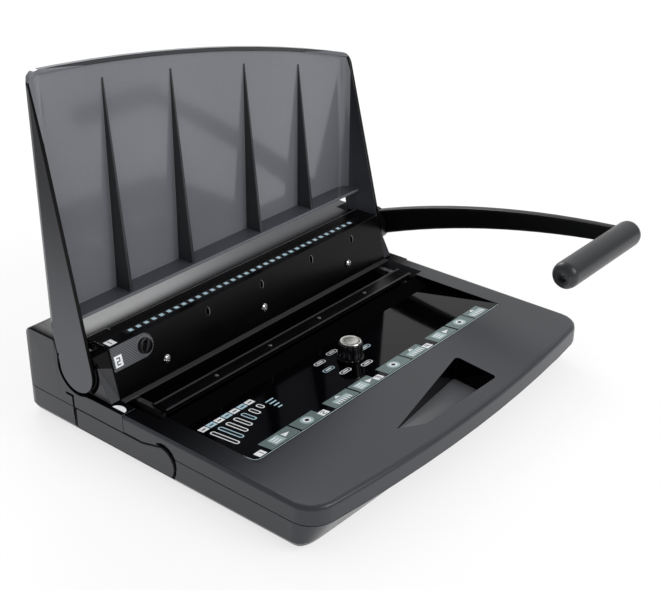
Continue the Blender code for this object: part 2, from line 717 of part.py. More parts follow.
def build_rear_housing():
    """Upper rear shell: high back over the punch bar, low rims beside the lid arms."""
    top = HOUSING_TOP_Z
    nose = SLOT_FRONT + SLOT_WIDTH + GAP
    outline = rounded([
        (-SEAM_REACH + GAP / 2, PARTING_Z, 0),
        (-SEAM_REACH + GAP / 2, RIM_Z, 0),
        (nose, RIM_Z, 0),
        (nose, top, WALL / 2),
        (REAR_REACH - HOUSING_LEAN, top, HOUSING_TOP_ROUND),
        (REAR_REACH, PARTING_Z, 0),
    ])
    housing = prism("rear_housing", outline, "X", -HALF_WIDTH, HALF_WIDTH, "body_plastic")
    plan = rounded([
        (-HALF_WIDTH, -SEAM_REACH - OVERRUN, 0), (HALF_WIDTH, -SEAM_REACH - OVERRUN, 0),
        (HALF_WIDTH, REAR_REACH, REAR_CORNER), (-HALF_WIDTH, REAR_REACH, REAR_CORNER),
    ])
    keep_inside(housing, prism("housing_plan", plan, "Z", PARTING_Z - OVERRUN, top + OVERRUN))
    ceiling = top - WALL
    rear = REAR_REACH - WALL
    bay = [
        (-SEAM_REACH - OVERRUN, PARTING_Z - OVERRUN), (-SEAM_REACH - OVERRUN, RIM_Z + OVERRUN),
        (nose - OVERRUN, RIM_Z + OVERRUN), (nose - OVERRUN, ceiling),
        (rear - HOUSING_LEAN, ceiling), (rear, PARTING_Z - OVERRUN),
    ]
    bay_half = COVER_HALF_LENGTH + GAP
    cut(housing, prism("housing_bay", bay, "X", -bay_half, bay_half))
    low_back = lid_back_y(AXIS_Z) + LID_ARC_GAP
    room = [
        (low_back + WALL, PARTING_Z - OVERRUN), (low_back + WALL, AXIS_Z),
        (lid_back_y(ceiling) + LID_ARC_GAP + WALL, ceiling),
        (rear - HOUSING_LEAN, ceiling), (rear, PARTING_Z - OVERRUN),
    ]
    room_half = HALF_WIDTH - WALL
    cut(housing, prism("housing_room", room, "X", -room_half, room_half))
    arm_room = arc((AXIS_BACK, AXIS_Z), LID_ARM_RADIUS + LID_ARC_GAP, -95, 0, 8)
    over = top + OVERRUN
    arm_room += [(lid_back_y(over) + LID_ARC_GAP, over), (-OVERRUN, over), (-OVERRUN, RIM_Z)]
    for name, sign in (("left", -1), ("right", 1)):
        inner = sign * (COVER_HALF_LENGTH - OVERRUN)
        outer = sign * (HALF_WIDTH + OVERRUN)
        cut(housing, prism("housing_arm_room_" + name, arm_room, "X", inner, outer))
    cut(housing, latch_groove("housing_latch_groove"))
    return housing


def cover_face_y(height):
    """Y of the punch cover's leaning front face at a height."""
    return -COVER_FRONT - COVER_LEAN * (COVER_TOP_Z - height) / (COVER_TOP_Z - COVER_BOTTOM_Z)


def face_frame(x, drop):
    """Matrix on the cover's front face: local X along the machine, local Z out of the face."""
    height = COVER_TOP_Z - drop
    lean = math.atan2(COVER_LEAN, COVER_TOP_Z - COVER_BOTTOM_Z)
    turn = Matrix.Rotation(math.pi / 2 - lean, 4, "X")
    return Matrix.Translation((x, cover_face_y(height), height)) @ turn


def set_by(solid, matrix):
    """Place a solid modelled round its own zero."""
    solid.matrix_basis = matrix
    return solid


def build_punch_cover():
    """Folded sheet cover with lip, louvres, screw holes and the guide knob hole."""
    sheet = COVER_SHEET
    slant = sheet * math.hypot(COVER_LEAN, COVER_TOP_Z - COVER_BOTTOM_Z) / (COVER_TOP_Z - COVER_BOTTOM_Z)
    foot = cover_face_y(COVER_BOTTOM_Z)
    outline = [
        (SLOT_FRONT, COVER_TOP_Z), (-COVER_FRONT, COVER_TOP_Z), (foot, COVER_BOTTOM_Z),
        (foot - COVER_LIP, COVER_BOTTOM_Z), (foot - COVER_LIP, COVER_BOTTOM_Z - sheet),
        (foot + slant, COVER_BOTTOM_Z - sheet),
        (-COVER_FRONT + slant, COVER_TOP_Z - sheet), (SLOT_FRONT, COVER_TOP_Z - sheet),
    ]
    cover = prism("punch_cover", outline, "X", -COVER_HALF_LENGTH, COVER_HALF_LENGTH, "painted_steel")
    for index, share in enumerate(LOUVRE_PLACE_SHARES):
        slit = rounded([
            (-LOUVRE_WIDTH / 2, -LOUVRE_HEIGHT / 2, 0), (LOUVRE_WIDTH / 2, -LOUVRE_HEIGHT / 2, 0),
            (LOUVRE_WIDTH / 2, LOUVRE_HEIGHT / 2, 0), (-LOUVRE_WIDTH / 2, LOUVRE_HEIGHT / 2, 0),
        ])
        tool = prism(f"cover_louvre_{index}", slit, "Z", -sheet * 2, sheet)
        cut(cover, set_by(tool, face_frame(COVER_HALF_LENGTH * share, LOUVRE_DROP)))
    for index, x in enumerate(cover_screw_places()):
        tool = turned(f"cover_screw_hole_{index}", hole_profile(COVER_SCREW_SHANK), "Z", (0, 0), 12)
        cut(cover, set_by(tool, face_frame(x, COVER_SCREW_DROP)))
    tool = turned("cover_knob_hole", hole_profile(GUIDE_STEM_RADIUS), "Z", (0, 0), 14)
    cut(cover, set_by(tool, face_frame(GUIDE_KNOB_X, GUIDE_KNOB_DROP)))
    return cover


def hole_profile(radius):
    """Profile of a clearance hole through the cover sheet."""
    return [(-COVER_SHEET * 2, radius + GAP), (COVER_SHEET * 2, radius + GAP)]


def cover_screw_places():
    """Places of the three cover screws along X."""
    return (-COVER_SCREW_PITCH, 0, COVER_SCREW_PITCH)


def build_cover_screws():
    """Three round-headed screws through the cover into the front rail."""
    head = COVER_SCREW_HEAD
    for name, x in zip(("left", "middle", "right"), cover_screw_places()):
        profile = [
            (-COVER_SCREW_LENGTH, COVER_SCREW_SHANK), (GAP, COVER_SCREW_SHANK), (GAP, head),
            (COVER_SCREW_HEAD_RISE / 2, head * 0.94), (COVER_SCREW_HEAD_RISE, head / 2),
        ]
        screw = turned("cover_screw_" + name, profile, "Z", (0, 0), 14, "bright_steel")
        set_by(screw, face_frame(x, COVER_SCREW_DROP))


def build_front_rail():
    """Cross rail between the frame plates that the cover is screwed to."""
    height = COVER_TOP_Z - COVER_SCREW_DROP
    low = height - RAIL_HEIGHT / 2
    front_low = cover_face_y(low) + COVER_SHEET * 2
    front_high = cover_face_y(low + RAIL_HEIGHT) + COVER_SHEET * 2
    outline = [
        (front_low, low), (front_low + RAIL_DEPTH, low),
        (front_high + RAIL_DEPTH, low + RAIL_HEIGHT), (front_high, low + RAIL_HEIGHT),
    ]
    rail = prism("front_rail", outline, "X", -DIE_HALF_LENGTH, DIE_HALF_LENGTH, "bright_steel")
    for index, x in enumerate(cover_screw_places()):
        profile = [(-COVER_SCREW_LENGTH - GAP, COVER_SCREW_SHANK + GAP), (0, COVER_SCREW_SHANK + GAP)]
        tool = turned(f"rail_screw_hole_{index}", profile, "Z", (0, 0), 12)
        cut(rail, set_by(tool, face_frame(x, COVER_SCREW_DROP)))
    return rail


def hole_places():
    """Places of the square holes along X."""
    return [(index - (HOLE_COUNT - 1) / 2) * HOLE_PITCH for index in range(HOLE_COUNT)]


def build_pierced_plate(name, front, rear, low, high):
    """Plate along X with a row of square holes through its depth."""
    half = PIN_SIZE / 2 + DIE_CLEARANCE
    columns = [-DIE_HALF_LENGTH]
    for x in hole_places():
        columns += [x - half, x + half]
    columns.append(DIE_HALF_LENGTH)
    rows = [low, PIN_Z - half, PIN_Z + half, high]
    vertices = []
    for y in (front, rear):
        for z in rows:
            vertices += [(x, y, z) for x in columns]
    width = len(columns)
    depth = width * len(rows)

    def at(face, row, column):
        return face * depth + row * width + column

    faces = []
    for row in range(3):
        for column in range(width - 1):
            corners = ((row, column), (row, column + 1), (row + 1, column + 1), (row + 1, column))
            if row == 1 and column % 2 == 1:
                for index in range(4):
                    here, after = corners[index], corners[(index + 1) % 4]
                    faces.append((at(0, *here), at(0, *after), at(1, *after), at(1, *here)))
                continue
            faces.append(tuple(at(0, *corner) for corner in corners))
            faces.append(tuple(at(1, *corner) for corner in reversed(corners)))
    for column in range(width - 1):
        for row in (0, 3):
            faces.append((at(0, row, column), at(0, row, column + 1), at(1, row, column + 1), at(1, row, column)))
    for row in range(3):
        for column in (0, width - 1):
            faces.append((at(0, row, column), at(0, row + 1, column), at(1, row + 1, column), at(1, row, column)))
    return add_solid(name, vertices, faces, "bright_steel")


def build_die_set():
    """Die in front of the paper slot, pin guide behind it and the slot's floor strip."""
    low = AXIS_Z + SHAFT_RADIUS + GAP * 2
    build_pierced_plate("die_plate", SLOT_FRONT - DIE_DEPTH, SLOT_FRONT, low, COVER_TOP_Z - COVER_SHEET - DIE_TOP_MARGIN)
    rear = SLOT_FRONT + SLOT_WIDTH
    build_pierced_plate("pin_guide_plate", rear, rear + GUIDE_DEPTH, low, HOUSING_TOP_Z - WALL - GAP)
    box(
        "slot_floor", (-DIE_HALF_LENGTH, DIE_HALF_LENGTH), (SLOT_FRONT + GAP, rear - GAP),
        (low, SLOT_FLOOR_Z), "bright_steel",
    )


def build_punch_bar():
    """Comb of square pins on one bar, tips just behind the paper slot."""
    tip = SLOT_FRONT + SLOT_WIDTH + RUNNING
    root = tip + PIN_LENGTH
    half_bar = RACK_X - GAP
    outline = [(half_bar, root), (half_bar, root + PUNCH_BAR_DEPTH), (-half_bar, root + PUNCH_BAR_DEPTH)]
    outline.append((-half_bar, root))
    for x in hole_places():
        left, right = x - PIN_SIZE / 2, x + PIN_SIZE / 2
        outline += [(left, root), (left, tip), (right, tip), (right, root)]
    prism("punch_bar", outline, "Z", PIN_Z - PIN_SIZE / 2, PIN_Z + PIN_SIZE / 2, "bright_steel")


def rack_teeth(first, last, pitch_z, up):
    """Rack flank points from front to rear, phased so that a gap faces the pinion's tooth."""
    pitch = math.pi * GEAR_MODULE
    sign = 1 if up else -1
    tip = pitch_z + sign * GEAR_MODULE * 0.85
    root = pitch_z - sign * GEAR_MODULE * 1.25
    points = []
    start = math.ceil((first - AXIS_BACK) / pitch + 0.5)
    end = math.floor((last - AXIS_BACK) / pitch - 0.5)
    for index in range(start, end + 1):
        centre = AXIS_BACK + (index + 0.5) * pitch
        if centre + pitch / 2 > last:
            break
        points += [
            (centre - pitch * 0.36, root), (centre - pitch * 0.13, tip),
            (centre + pitch * 0.13, tip), (centre + pitch * 0.36, root),
        ]
    return points


def build_racks():
    """Upper racks push the punch bar forward, lower racks pull the closer plate back."""
    pitch_high = AXIS_Z + PITCH_RADIUS
    pitch_low = AXIS_Z - PITCH_RADIUS
    bar_front = SLOT_FRONT + SLOT_WIDTH + RUNNING + PIN_LENGTH
    top = PIN_Z + PIN_SIZE / 2
    bottom = pitch_high + GEAR_MODULE * 1.25
    first = AXIS_BACK - RACK_SPAN_FORE
    last = AXIS_BACK + RACK_SPAN_AFT
    upper = [(first, top), (first, bottom)] + rack_teeth(first, last, pitch_high, False)
    upper += [(last, bottom), (bar_front, bottom), (bar_front, PIN_Z - PIN_SIZE / 2 - GEAR_MODULE)]
    upper += [(bar_front + PUNCH_BAR_DEPTH, PIN_Z - PIN_SIZE / 2 - GEAR_MODULE), (bar_front + PUNCH_BAR_DEPTH, top)]
    first = AXIS_BACK - RACK_SPAN_AFT
    last = AXIS_BACK + RACK_SPAN_FORE
    crest = pitch_low - GEAR_MODULE * 1.25
    lower = [(first, crest)] + rack_teeth(first, last, pitch_low, True)
    lower += [(last, crest), (last, crest - RACK_BACKING), (first - RACK_BACKING, crest - RACK_BACKING)]
    knee = cover_face_y(COVER_BOTTOM_Z) + COVER_SHEET * 2 + RACK_TRAVEL
    lower += [
        (knee + ARM_HEIGHT, ARM_BOTTOM_Z), (-ARM_FRONT, ARM_BOTTOM_Z), (-ARM_FRONT, PLATE_BOTTOM_Z - GAP),
        (-PLATE_REAR - PUSHER_THICKNESS - GAP, PLATE_BOTTOM_Z - GAP), (-PLATE_REAR - PUSHER_THICKNESS - GAP, ARM_TOP_Z),
        (knee, ARM_TOP_Z),
    ]
    for name, sign in (("left", -1), ("right", 1)):
        inner, outer = sign * RACK_X, sign * (RACK_X + PINION_WIDTH)
        prism("punch_rack_" + name, upper, "X", inner, outer, "bright_steel")
        prism("closer_rack_" + name, lower, "X", inner, outer, "bright_steel")


def pinion_outline():
    """Gear outline, (y, z), with a tooth straight up and one straight down."""
    points = []
    step = 2 * math.pi / PINION_TEETH
    root = PITCH_RADIUS - GEAR_MODULE * 1.25
    tip = PITCH_RADIUS + GEAR_MODULE * 0.85
    for index in range(PINION_TEETH):
        middle = math.pi / 2 + index * step
        for radius, turn in ((root, -0.30), (tip, -0.12), (tip, 0.12), (root, 0.30)):
            angle = middle + turn * step
            points.append((AXIS_BACK + radius * math.cos(angle), AXIS_Z + radius * math.sin(angle)))
    return points


def build_drive():
    """Cross shaft, its pinions, bushes and the two frame plates."""
    shaft_right = ARM_INNER_X + ARM_THICKNESS - HUB_SCREW_RISE
    centre = (AXIS_BACK, AXIS_Z)
    left_end = -(PLATE_HALF_LENGTH + SHAFT_END)
    shaft = turned(
        "drive_shaft", [(left_end, SHAFT_RADIUS), (shaft_right, SHAFT_RADIUS)], "X", centre, 24, "bright_steel",
    )
    hub_hole = turned(
        "shaft_screw_hole",
        [(shaft_right - HUB_SCREW_RADIUS * 2, HUB_SCREW_SHANK + GAP), (shaft_right + OVERRUN, HUB_SCREW_SHANK + GAP)],
        "X", centre, 12,
    )
    cut(shaft, hub_hole)
    bore = SHAFT_RADIUS + GAP
    bush_outer = bore + BUSH_WALL
    plate_outline = [
        (-FRAME_FRONT, CHASSIS_TOP_Z + GAP), (FRAME_REAR, CHASSIS_TOP_Z + GAP),
        (FRAME_REAR, HOUSING_TOP_Z - WALL - GAP), (SLOT_FRONT, HOUSING_TOP_Z - WALL - GAP),
        (SLOT_FRONT, COVER_TOP_Z - FRAME_TOP_DROP), (-FRAME_SHOULDER, COVER_TOP_Z - FRAME_TOP_DROP),
        (-FRAME_FRONT, COVER_TOP_Z - COVER_SCREW_DROP),
    ]
    for name, sign in (("left", -1), ("right", 1)):
        inner, outer = sign * RACK_X, sign * (RACK_X + PINION_WIDTH)
        pinion = prism("pinion_" + name, pinion_outline(), "X", inner, outer, "bright_steel")
        hole = turned("pinion_bore_" + name, [(inner - sign * OVERRUN, bore), (outer + sign * OVERRUN, bore)], "X", centre, 24)
        cut(pinion, hole)
        plate_in, plate_out = sign * FRAME_X, sign * (FRAME_X + FRAME_SHEET)
        plate = prism("frame_plate_" + name, plate_outline, "X", plate_in, plate_out, "painted_steel")
        seat = turned(
            "frame_bore_" + name,
            [(plate_in - sign * OVERRUN, bush_outer + GAP), (plate_out + sign * OVERRUN, bush_outer + GAP)],
            "X", centre, 24,
        )
        cut(plate, seat)
        flange_end = plate_out + sign * (BUSH_FLANGE_WIDTH + GAP)
        profile = [
            (plate_in, bush_outer), (plate_out + sign * GAP, bush_outer),
            (plate_out + sign * GAP, bush_outer + BUSH_FLANGE), (flange_end, bush_outer + BUSH_FLANGE),
        ]
        bush = turned("shaft_bush_" + name, profile, "X", centre, 24, "bronze")
        hole = turned(
            "bush_bore_" + name,
            [(plate_in - sign * OVERRUN, bore), (flange_end + sign * OVERRUN, bore)], "X", centre, 24,
        )
        cut(bush, hole)


def build_closer():
    """Chassis, bed, anvil bar, sliding closer plate, its strip and four small screws."""
    chip = box(
        "chassis_chip_hole", (-DIE_HALF_LENGTH + DIE_END_MARGIN, DIE_HALF_LENGTH - DIE_END_MARGIN),
        (-CHIP_OPENING_FRONT, SLOT_FRONT - DIE_DEPTH), (PARTING_Z, CHASSIS_TOP_Z + OVERRUN),
    )
    chassis = box(
        "chassis_plate", (-CHASSIS_HALF_LENGTH, CHASSIS_HALF_LENGTH), (-CHASSIS_FRONT, FRAME_REAR),
        (PARTING_Z + GAP, CHASSIS_TOP_Z), "painted_steel",
    )
    cut(chassis, chip)
    bed_half = CHASSIS_HALF_LENGTH
    box("closer_bed", (-bed_half, bed_half), (-BED_FRONT, -BED_REAR), (CHASSIS_TOP_Z + GAP, BED_TOP_Z), "gloss_black")
    anvil_front = cover_face_y(COVER_BOTTOM_Z) - COVER_LIP + COVER_SHEET
    box(
        "anvil_bar", (-DIE_HALF_LENGTH, DIE_HALF_LENGTH), (anvil_front, anvil_front + ANVIL_DEPTH),
        (BED_TOP_Z + GAP, COVER_BOTTOM_Z - COVER_SHEET - GAP), "painted_steel",
    )
    plate_half = PLATE_HALF_LENGTH
    plate = box(
        "closer_plate", (-plate_half, plate_half), (-PLATE_FRONT, -PLATE_REAR),
        (PLATE_BOTTOM_Z, RIM_Z), "painted_steel",
    )
    pusher = box(
        "closer_pusher", (-DIE_HALF_LENGTH, DIE_HALF_LENGTH), (-PLATE_REAR - PUSHER_THICKNESS, -PLATE_REAR),
        (BED_TOP_Z + RUNNING, RIM_Z - PLATE_SHEET / 2),
    )
    fuse(plate, pusher)
    strip_z = RIM_Z + GAP
    strip = box(
        "closer_strip", (-STRIP_HALF_LENGTH, STRIP_HALF_LENGTH),
        (-PLATE_FRONT + STRIP_MARGIN, -PLATE_REAR - STRIP_MARGIN),
        (strip_z, strip_z + STRIP_SHEET), "painted_steel",
    )
    strip_y = -(PLATE_FRONT + PLATE_REAR) / 2
    head_z = strip_z + STRIP_SHEET + GAP
    for index in range(4):
        x = (index - 3 / 2) * STRIP_SCREW_PITCH
        hole = [(PLATE_BOTTOM_Z - OVERRUN, STRIP_SCREW_SHANK + GAP), (head_z + OVERRUN, STRIP_SCREW_SHANK + GAP)]
        cut(strip, turned(f"strip_hole_{index}", hole, "Z", (x, strip_y), 10))
        cut(plate, turned(f"plate_hole_{index}", hole, "Z", (x, strip_y), 10))
        profile = [
            (PLATE_BOTTOM_Z, STRIP_SCREW_SHANK), (head_z, STRIP_SCREW_SHANK), (head_z, STRIP_SCREW_HEAD),
            (head_z + STRIP_SCREW_RISE, STRIP_SCREW_HEAD / 2),
        ]
        turned(f"closer_screw_{index + 1}", profile, "Z", (x, strip_y), 12, "bright_steel")


def build_size_knob():
    """Fluted knob, silver cap and a spindle that carries the stop cam below the tray."""
    base = panel_height(KNOB_BACK) + KNOB_LIFT
    centre = (KNOB_X, -KNOB_BACK)
    outline = []
    for index in range(KNOB_FLUTES * 4):
        angle = 2 * math.pi * index / (KNOB_FLUTES * 4)
        dip = KNOB_FLUTE_DEPTH * (1 if index % 4 in (1, 2) else 0)
        outline.append((math.cos(angle) * (KNOB_RADIUS - dip), math.sin(angle) * (KNOB_RADIUS - dip)))
    levels = ((base, 1.0), (base + KNOB_HEIGHT * 0.9, 0.92), (base + KNOB_HEIGHT, 0.86))
    rings = [[(centre[0] + x * grow, centre[1] + y * grow, z) for x, y in outline] for z, grow in levels]
    knob = loft("size_knob", rings, "gloss_black")
    bore = [(base - OVERRUN, SPINDLE_RADIUS + GAP), (base + KNOB_HEIGHT * 0.7, SPINDLE_RADIUS + GAP)]
    cut(knob, turned("knob_bore", bore, "Z", centre, 16))
    top = base + KNOB_HEIGHT + GAP
    cap = [(top, CAP_RADIUS), (top + CAP_HEIGHT * 0.7, CAP_RADIUS), (top + CAP_HEIGHT, CAP_RADIUS * 0.92)]
    turned("size_knob_cap", cap, "Z", centre, 28, "silver")
    cam_low = base - CAM_DROP
    cam = turned(
        "size_cam", [(cam_low, CAM_RADIUS), (cam_low + CAM_THICKNESS, CAM_RADIUS)], "Z",
        (KNOB_X + CAM_OFFSET, -KNOB_BACK), 24, "bright_steel",
    )
    stem = turned(
        "size_cam_stem", [(cam_low, SPINDLE_RADIUS), (base + KNOB_HEIGHT * 0.7 - GAP, SPINDLE_RADIUS)], "Z", centre, 16,
    )
    fuse(cam, stem)


def build_side_guide():
    """Paper side guide, its knob on the cover's face and the plate round the knob."""
    plate_corners = [
        (-GUIDE_PLATE_LENGTH, -GUIDE_PLATE_RADIUS), (0, -GUIDE_PLATE_RADIUS),
    ]
    outline = plate_corners + arc((0, 0), GUIDE_PLATE_RADIUS, -75, 75, 10)
    outline += [(0, GUIDE_PLATE_RADIUS), (-GUIDE_PLATE_LENGTH, GUIDE_PLATE_RADIUS)]
    plate = prism("guide_plate", outline, "Z", GAP, GAP + GUIDE_PLATE_SHEET, "grey_plate")
    frame = face_frame(GUIDE_KNOB_X, GUIDE_KNOB_DROP)
    set_by(plate, frame)
    hole = turned(
        "guide_plate_hole", [(-OVERRUN, GUIDE_STEM_RADIUS + GAP), (OVERRUN, GUIDE_STEM_RADIUS + GAP)], "Z", (0, 0), 14,
    )
    cut(plate, set_by(hole, frame))
    seat = GAP * 2 + GUIDE_PLATE_SHEET
    profile = [
        (-GUIDE_STEM_LENGTH, GUIDE_STEM_RADIUS), (seat, GUIDE_STEM_RADIUS), (seat, GUIDE_KNOB_RADIUS),
        (seat + GUIDE_KNOB_RISE * 0.8, GUIDE_KNOB_RADIUS), (seat + GUIDE_KNOB_RISE, GUIDE_KNOB_RADIUS * 0.85),
    ]
    knob = turned("guide_knob", profile, "Z", (0, 0), 24, "gloss_black")
    set_by(knob, frame)
    slot = box(
        "guide_knob_slot", (-GUIDE_KNOB_RADIUS * 2, GUIDE_KNOB_RADIUS * 2),
        (-GUIDE_STEM_RADIUS / 4, GUIDE_STEM_RADIUS / 4),
        (seat + GUIDE_KNOB_RISE * 0.7, seat + GUIDE_KNOB_RISE * 2),
    )
    cut(knob, set_by(slot, frame))
    strap_top = COVER_TOP_Z - COVER_SHEET - GAP
    strap_low = strap_top - GUIDE_STRAP_SHEET
    leg_top = COVER_TOP_Z - GUIDE_KNOB_DROP
    leg_front = cover_face_y(leg_top) + GUIDE_STEM_LENGTH + COVER_SHEET + GAP
    slot_middle = SLOT_FRONT + SLOT_WIDTH / 2
    tab_half = SLOT_WIDTH / 2 - RUNNING
    tab_left = -DIE_HALF_LENGTH + GUIDE_TRAVEL + GAP
    strap_right = tab_left + GUIDE_STRAP_WIDTH + GUIDE_TAB_WIDTH
    side = box(
        "side_guide", (tab_left, strap_right), (leg_front, slot_middle + tab_half), (strap_low, strap_top), "bright_steel",
    )
    tab = box(
        "guide_tab", (tab_left, tab_left + GUIDE_TAB_WIDTH), (slot_middle - tab_half, slot_middle + tab_half),
        (SLOT_FLOOR_Z + RUNNING, strap_low + GUIDE_STRAP_SHEET / 2),
    )
    fuse(side, tab)
    leg = box(
        "guide_leg", (tab_left, strap_right), (leg_front, leg_front + GUIDE_LEG_THICKNESS),
        (strap_low - GUIDE_LEG_HEIGHT, strap_low + GUIDE_STRAP_SHEET / 2),
    )
    fuse(side, leg)


def build_end_caps():
    """Moulded caps at both ends of the punch unit, seats of the lid's pin and bush."""
    low = RIM_Z + GAP
    foot = cover_face_y(COVER_BOTTOM_Z)
    top = COVER_TOP_Z - CAP_TOP_DROP
    crown = COVER_TOP_Z - COVER_SHEET
    inner = [(foot, low), (-COVER_FRONT, crown), (0, crown), (COVER_FRONT, top)]
    outer = [(foot, low), (-COVER_FRONT + CAP_SET_BACK / 2, top), (CAP_SET_BACK / 3, top), (COVER_FRONT, top)]
    heel = [(CAP_REAR, top)] + arc((AXIS_BACK, AXIS_Z), LID_ARM_RADIUS, -22, -75, 4)
    inner += heel
    outer += heel
    centre = (AXIS_BACK, AXIS_Z)
    start = COVER_HALF_LENGTH + GAP
    end = start + CAP_OUTER
    for name, sign in (("left", -1), ("right", 1)):
        rings = [
            [(sign * start, y, z) for y, z in inner],
            [(sign * end, y, z) for y, z in outer],
        ]
        cap = loft("end_cap_" + name, rings, "body_plastic")
        bore = turned(
            "cap_bore_" + name,
            [(sign * (start - OVERRUN), LID_BUSH_RADIUS + GAP), (sign * (end + OVERRUN), LID_BUSH_RADIUS + GAP)],
            "X", centre, 28,
        )
        cut(cap, bore)
    skin = HALF_WIDTH - LID_BOSS_SKIN - GAP
    turned("lid_pin_left", [(-start, LID_BUSH_RADIUS), (-skin, LID_BUSH_RADIUS)], "X", centre, 28, "bright_steel")
    out = HALF_WIDTH + HUB_GAP / 2
    bush = turned("lid_bush_right", [(start, LID_BUSH_RADIUS), (out, LID_BUSH_RADIUS)], "X", centre, 28, "bronze")
    bore = [(start - OVERRUN, SHAFT_RADIUS + GAP), (out + OVERRUN, SHAFT_RADIUS + GAP)]
    cut(bush, turned("lid_bush_bore", bore, "X", centre, 24))


def lid_side_ring(x, edge_slope, high):
    """Side view of the lid at one end: round arm, straight free edge, thin rim and flat back."""
    slope = math.radians(edge_slope)
    panel = LID_PANEL_BACK
    ledge_z = AXIS_Z + LID_LEDGE_RISE
    start_y = AXIS_BACK - LID_ARM_RADIUS * math.cos(slope)
    start_z = AXIS_Z + LID_ARM_RADIUS * math.sin(slope)
    rim_y = panel - LID_PANEL_SHEET - LID_RIM_DEPTH
    rim_z = start_z + (rim_y - start_y) / math.tan(slope)
    side = arc((AXIS_BACK, AXIS_Z), LID_ARM_RADIUS, 0, -180 - edge_slope, 14)
    side += [(rim_y, rim_z), (rim_y, high), (panel, high), (panel, ledge_z + LID_REACH / 8)]
    side.append((panel - LID_PANEL_SHEET, ledge_z - LID_LEDGE_SHEET))
    return [(x, y, z) for y, z in side]


def lid_top_z(x):
    """Height of the open lid's front edge: a chord that falls to the right, with a shallow bow."""
    share = x / HALF_WIDTH
    return AXIS_Z + LID_REACH - LID_SKEW * (1 + share) / 2 + LID_BOW * (1 - share ** 2)


def lid_front_outline(inset):
    """Front view of the lid, (x, z): straight sides, round corners and the slanted, bowed top."""
    half = HALF_WIDTH - inset
    low = AXIS_Z - LID_ARM_RADIUS - OVERRUN
    radius = max(LID_CORNER - inset, LID_CORNER / 3)
    corners = [(half, low, 0)]
    steps = 12
    for step in range(steps + 1):
        x = half * (1 - 2 * step / steps)
        corners.append((x, lid_top_z(x) - inset, radius if step in (0, steps) else 0))
    corners.append((-half, low, 0))
    return rounded(corners, 4)


def build_lid():
    """Smoked lid: a dished moulding, longer on the left, with side arms, a ledge and four ribs."""
    high = AXIS_Z + LID_REACH + LID_BOW + OVERRUN
    ledge_z = AXIS_Z + LID_LEDGE_RISE
    panel = LID_PANEL_BACK
    centre = (AXIS_BACK, AXIS_Z)
    rings = [
        lid_side_ring(-HALF_WIDTH, LID_EDGE_SLOPE, high),
        lid_side_ring(HALF_WIDTH, LID_RIGHT_EDGE_SLOPE, high),
    ]
    lid = loft("lid", rings, "lid_plastic")
    keep_inside(lid, prism("lid_front_view", lid_front_outline(0), "Y", -AXIS_BACK, panel + OVERRUN))
    plan = rounded([
        (-HALF_WIDTH, -AXIS_BACK, 0), (HALF_WIDTH, -AXIS_BACK, 0),
        (HALF_WIDTH, panel, LID_EDGE_ROUND), (-HALF_WIDTH, panel, LID_EDGE_ROUND),
    ])
    keep_inside(lid, prism("lid_plan_view", plan, "Z", AXIS_Z - LID_ARM_RADIUS - OVERRUN, high + OVERRUN))
    inner_half = HALF_WIDTH - LID_SHEET
    inner_back = panel - LID_PANEL_SHEET
    dish_plan = rounded([
        (-inner_half, -AXIS_BACK * 2, 0), (inner_half, -AXIS_BACK * 2, 0),
        (inner_half, inner_back, LID_INNER_ROUND), (-inner_half, inner_back, LID_INNER_ROUND),
    ], ROUND_STEPS + 1)
    dish = prism("lid_dish", dish_plan, "Z", ledge_z, high)
    keep_inside(dish, prism("lid_dish_front", lid_front_outline(LID_SHEET), "Y", -AXIS_BACK * 3, panel))
    cut(lid, dish)
    below = box(
        "lid_below", (-inner_half, inner_half), (-AXIS_BACK * 2, panel + OVERRUN),
        (AXIS_Z - LID_ARM_RADIUS * 2, ledge_z - LID_LEDGE_SHEET),
    )
    cut(lid, below)
    trim = box(
        "lid_ledge_trim", (-inner_half, inner_half), (-AXIS_BACK * 2, panel - LID_LEDGE_DEPTH),
        (ledge_z - LID_LEDGE_SHEET * 2, ledge_z + LID_LEDGE_SHEET),
    )
    cut(lid, trim)
    foot_y = panel - LID_LEDGE_DEPTH + RIB_FOOT_SET_BACK
    sunk = inner_back + LID_PANEL_SHEET / 2
    for index, share in enumerate(RIB_X_SHARES):
        x = HALF_WIDTH * share
        tip_z = lid_top_z(x) - RIB_TIP_DROP
        base = RIB_THICKNESS / 2
        thin = RIB_TOP_THICKNESS / 2
        foot_z = ledge_z - LID_LEDGE_SHEET / 2
        rings = [
            [(x - base, foot_y, foot_z), (x + base, foot_y, foot_z), (x + base, sunk, foot_z), (x - base, sunk, foot_z)],
            [
                (x - thin, inner_back - thin, tip_z), (x + thin, inner_back - thin, tip_z),
                (x + thin, sunk, tip_z), (x - thin, sunk, tip_z),
            ],
        ]
        fuse(lid, loft(f"lid_rib_{index}", rings))
    boss_room = LID_BUSH_RADIUS + GAP
    blind = -HALF_WIDTH + LID_BOSS_SKIN
    cut(lid, turned("lid_pin_seat", [(blind, boss_room), (-inner_half + OVERRUN, boss_room)], "X", centre, 28))
    through = [(inner_half - OVERRUN, boss_room), (HALF_WIDTH + OVERRUN, boss_room)]
    cut(lid, turned("lid_bush_seat", through, "X", centre, 28))
    return lid


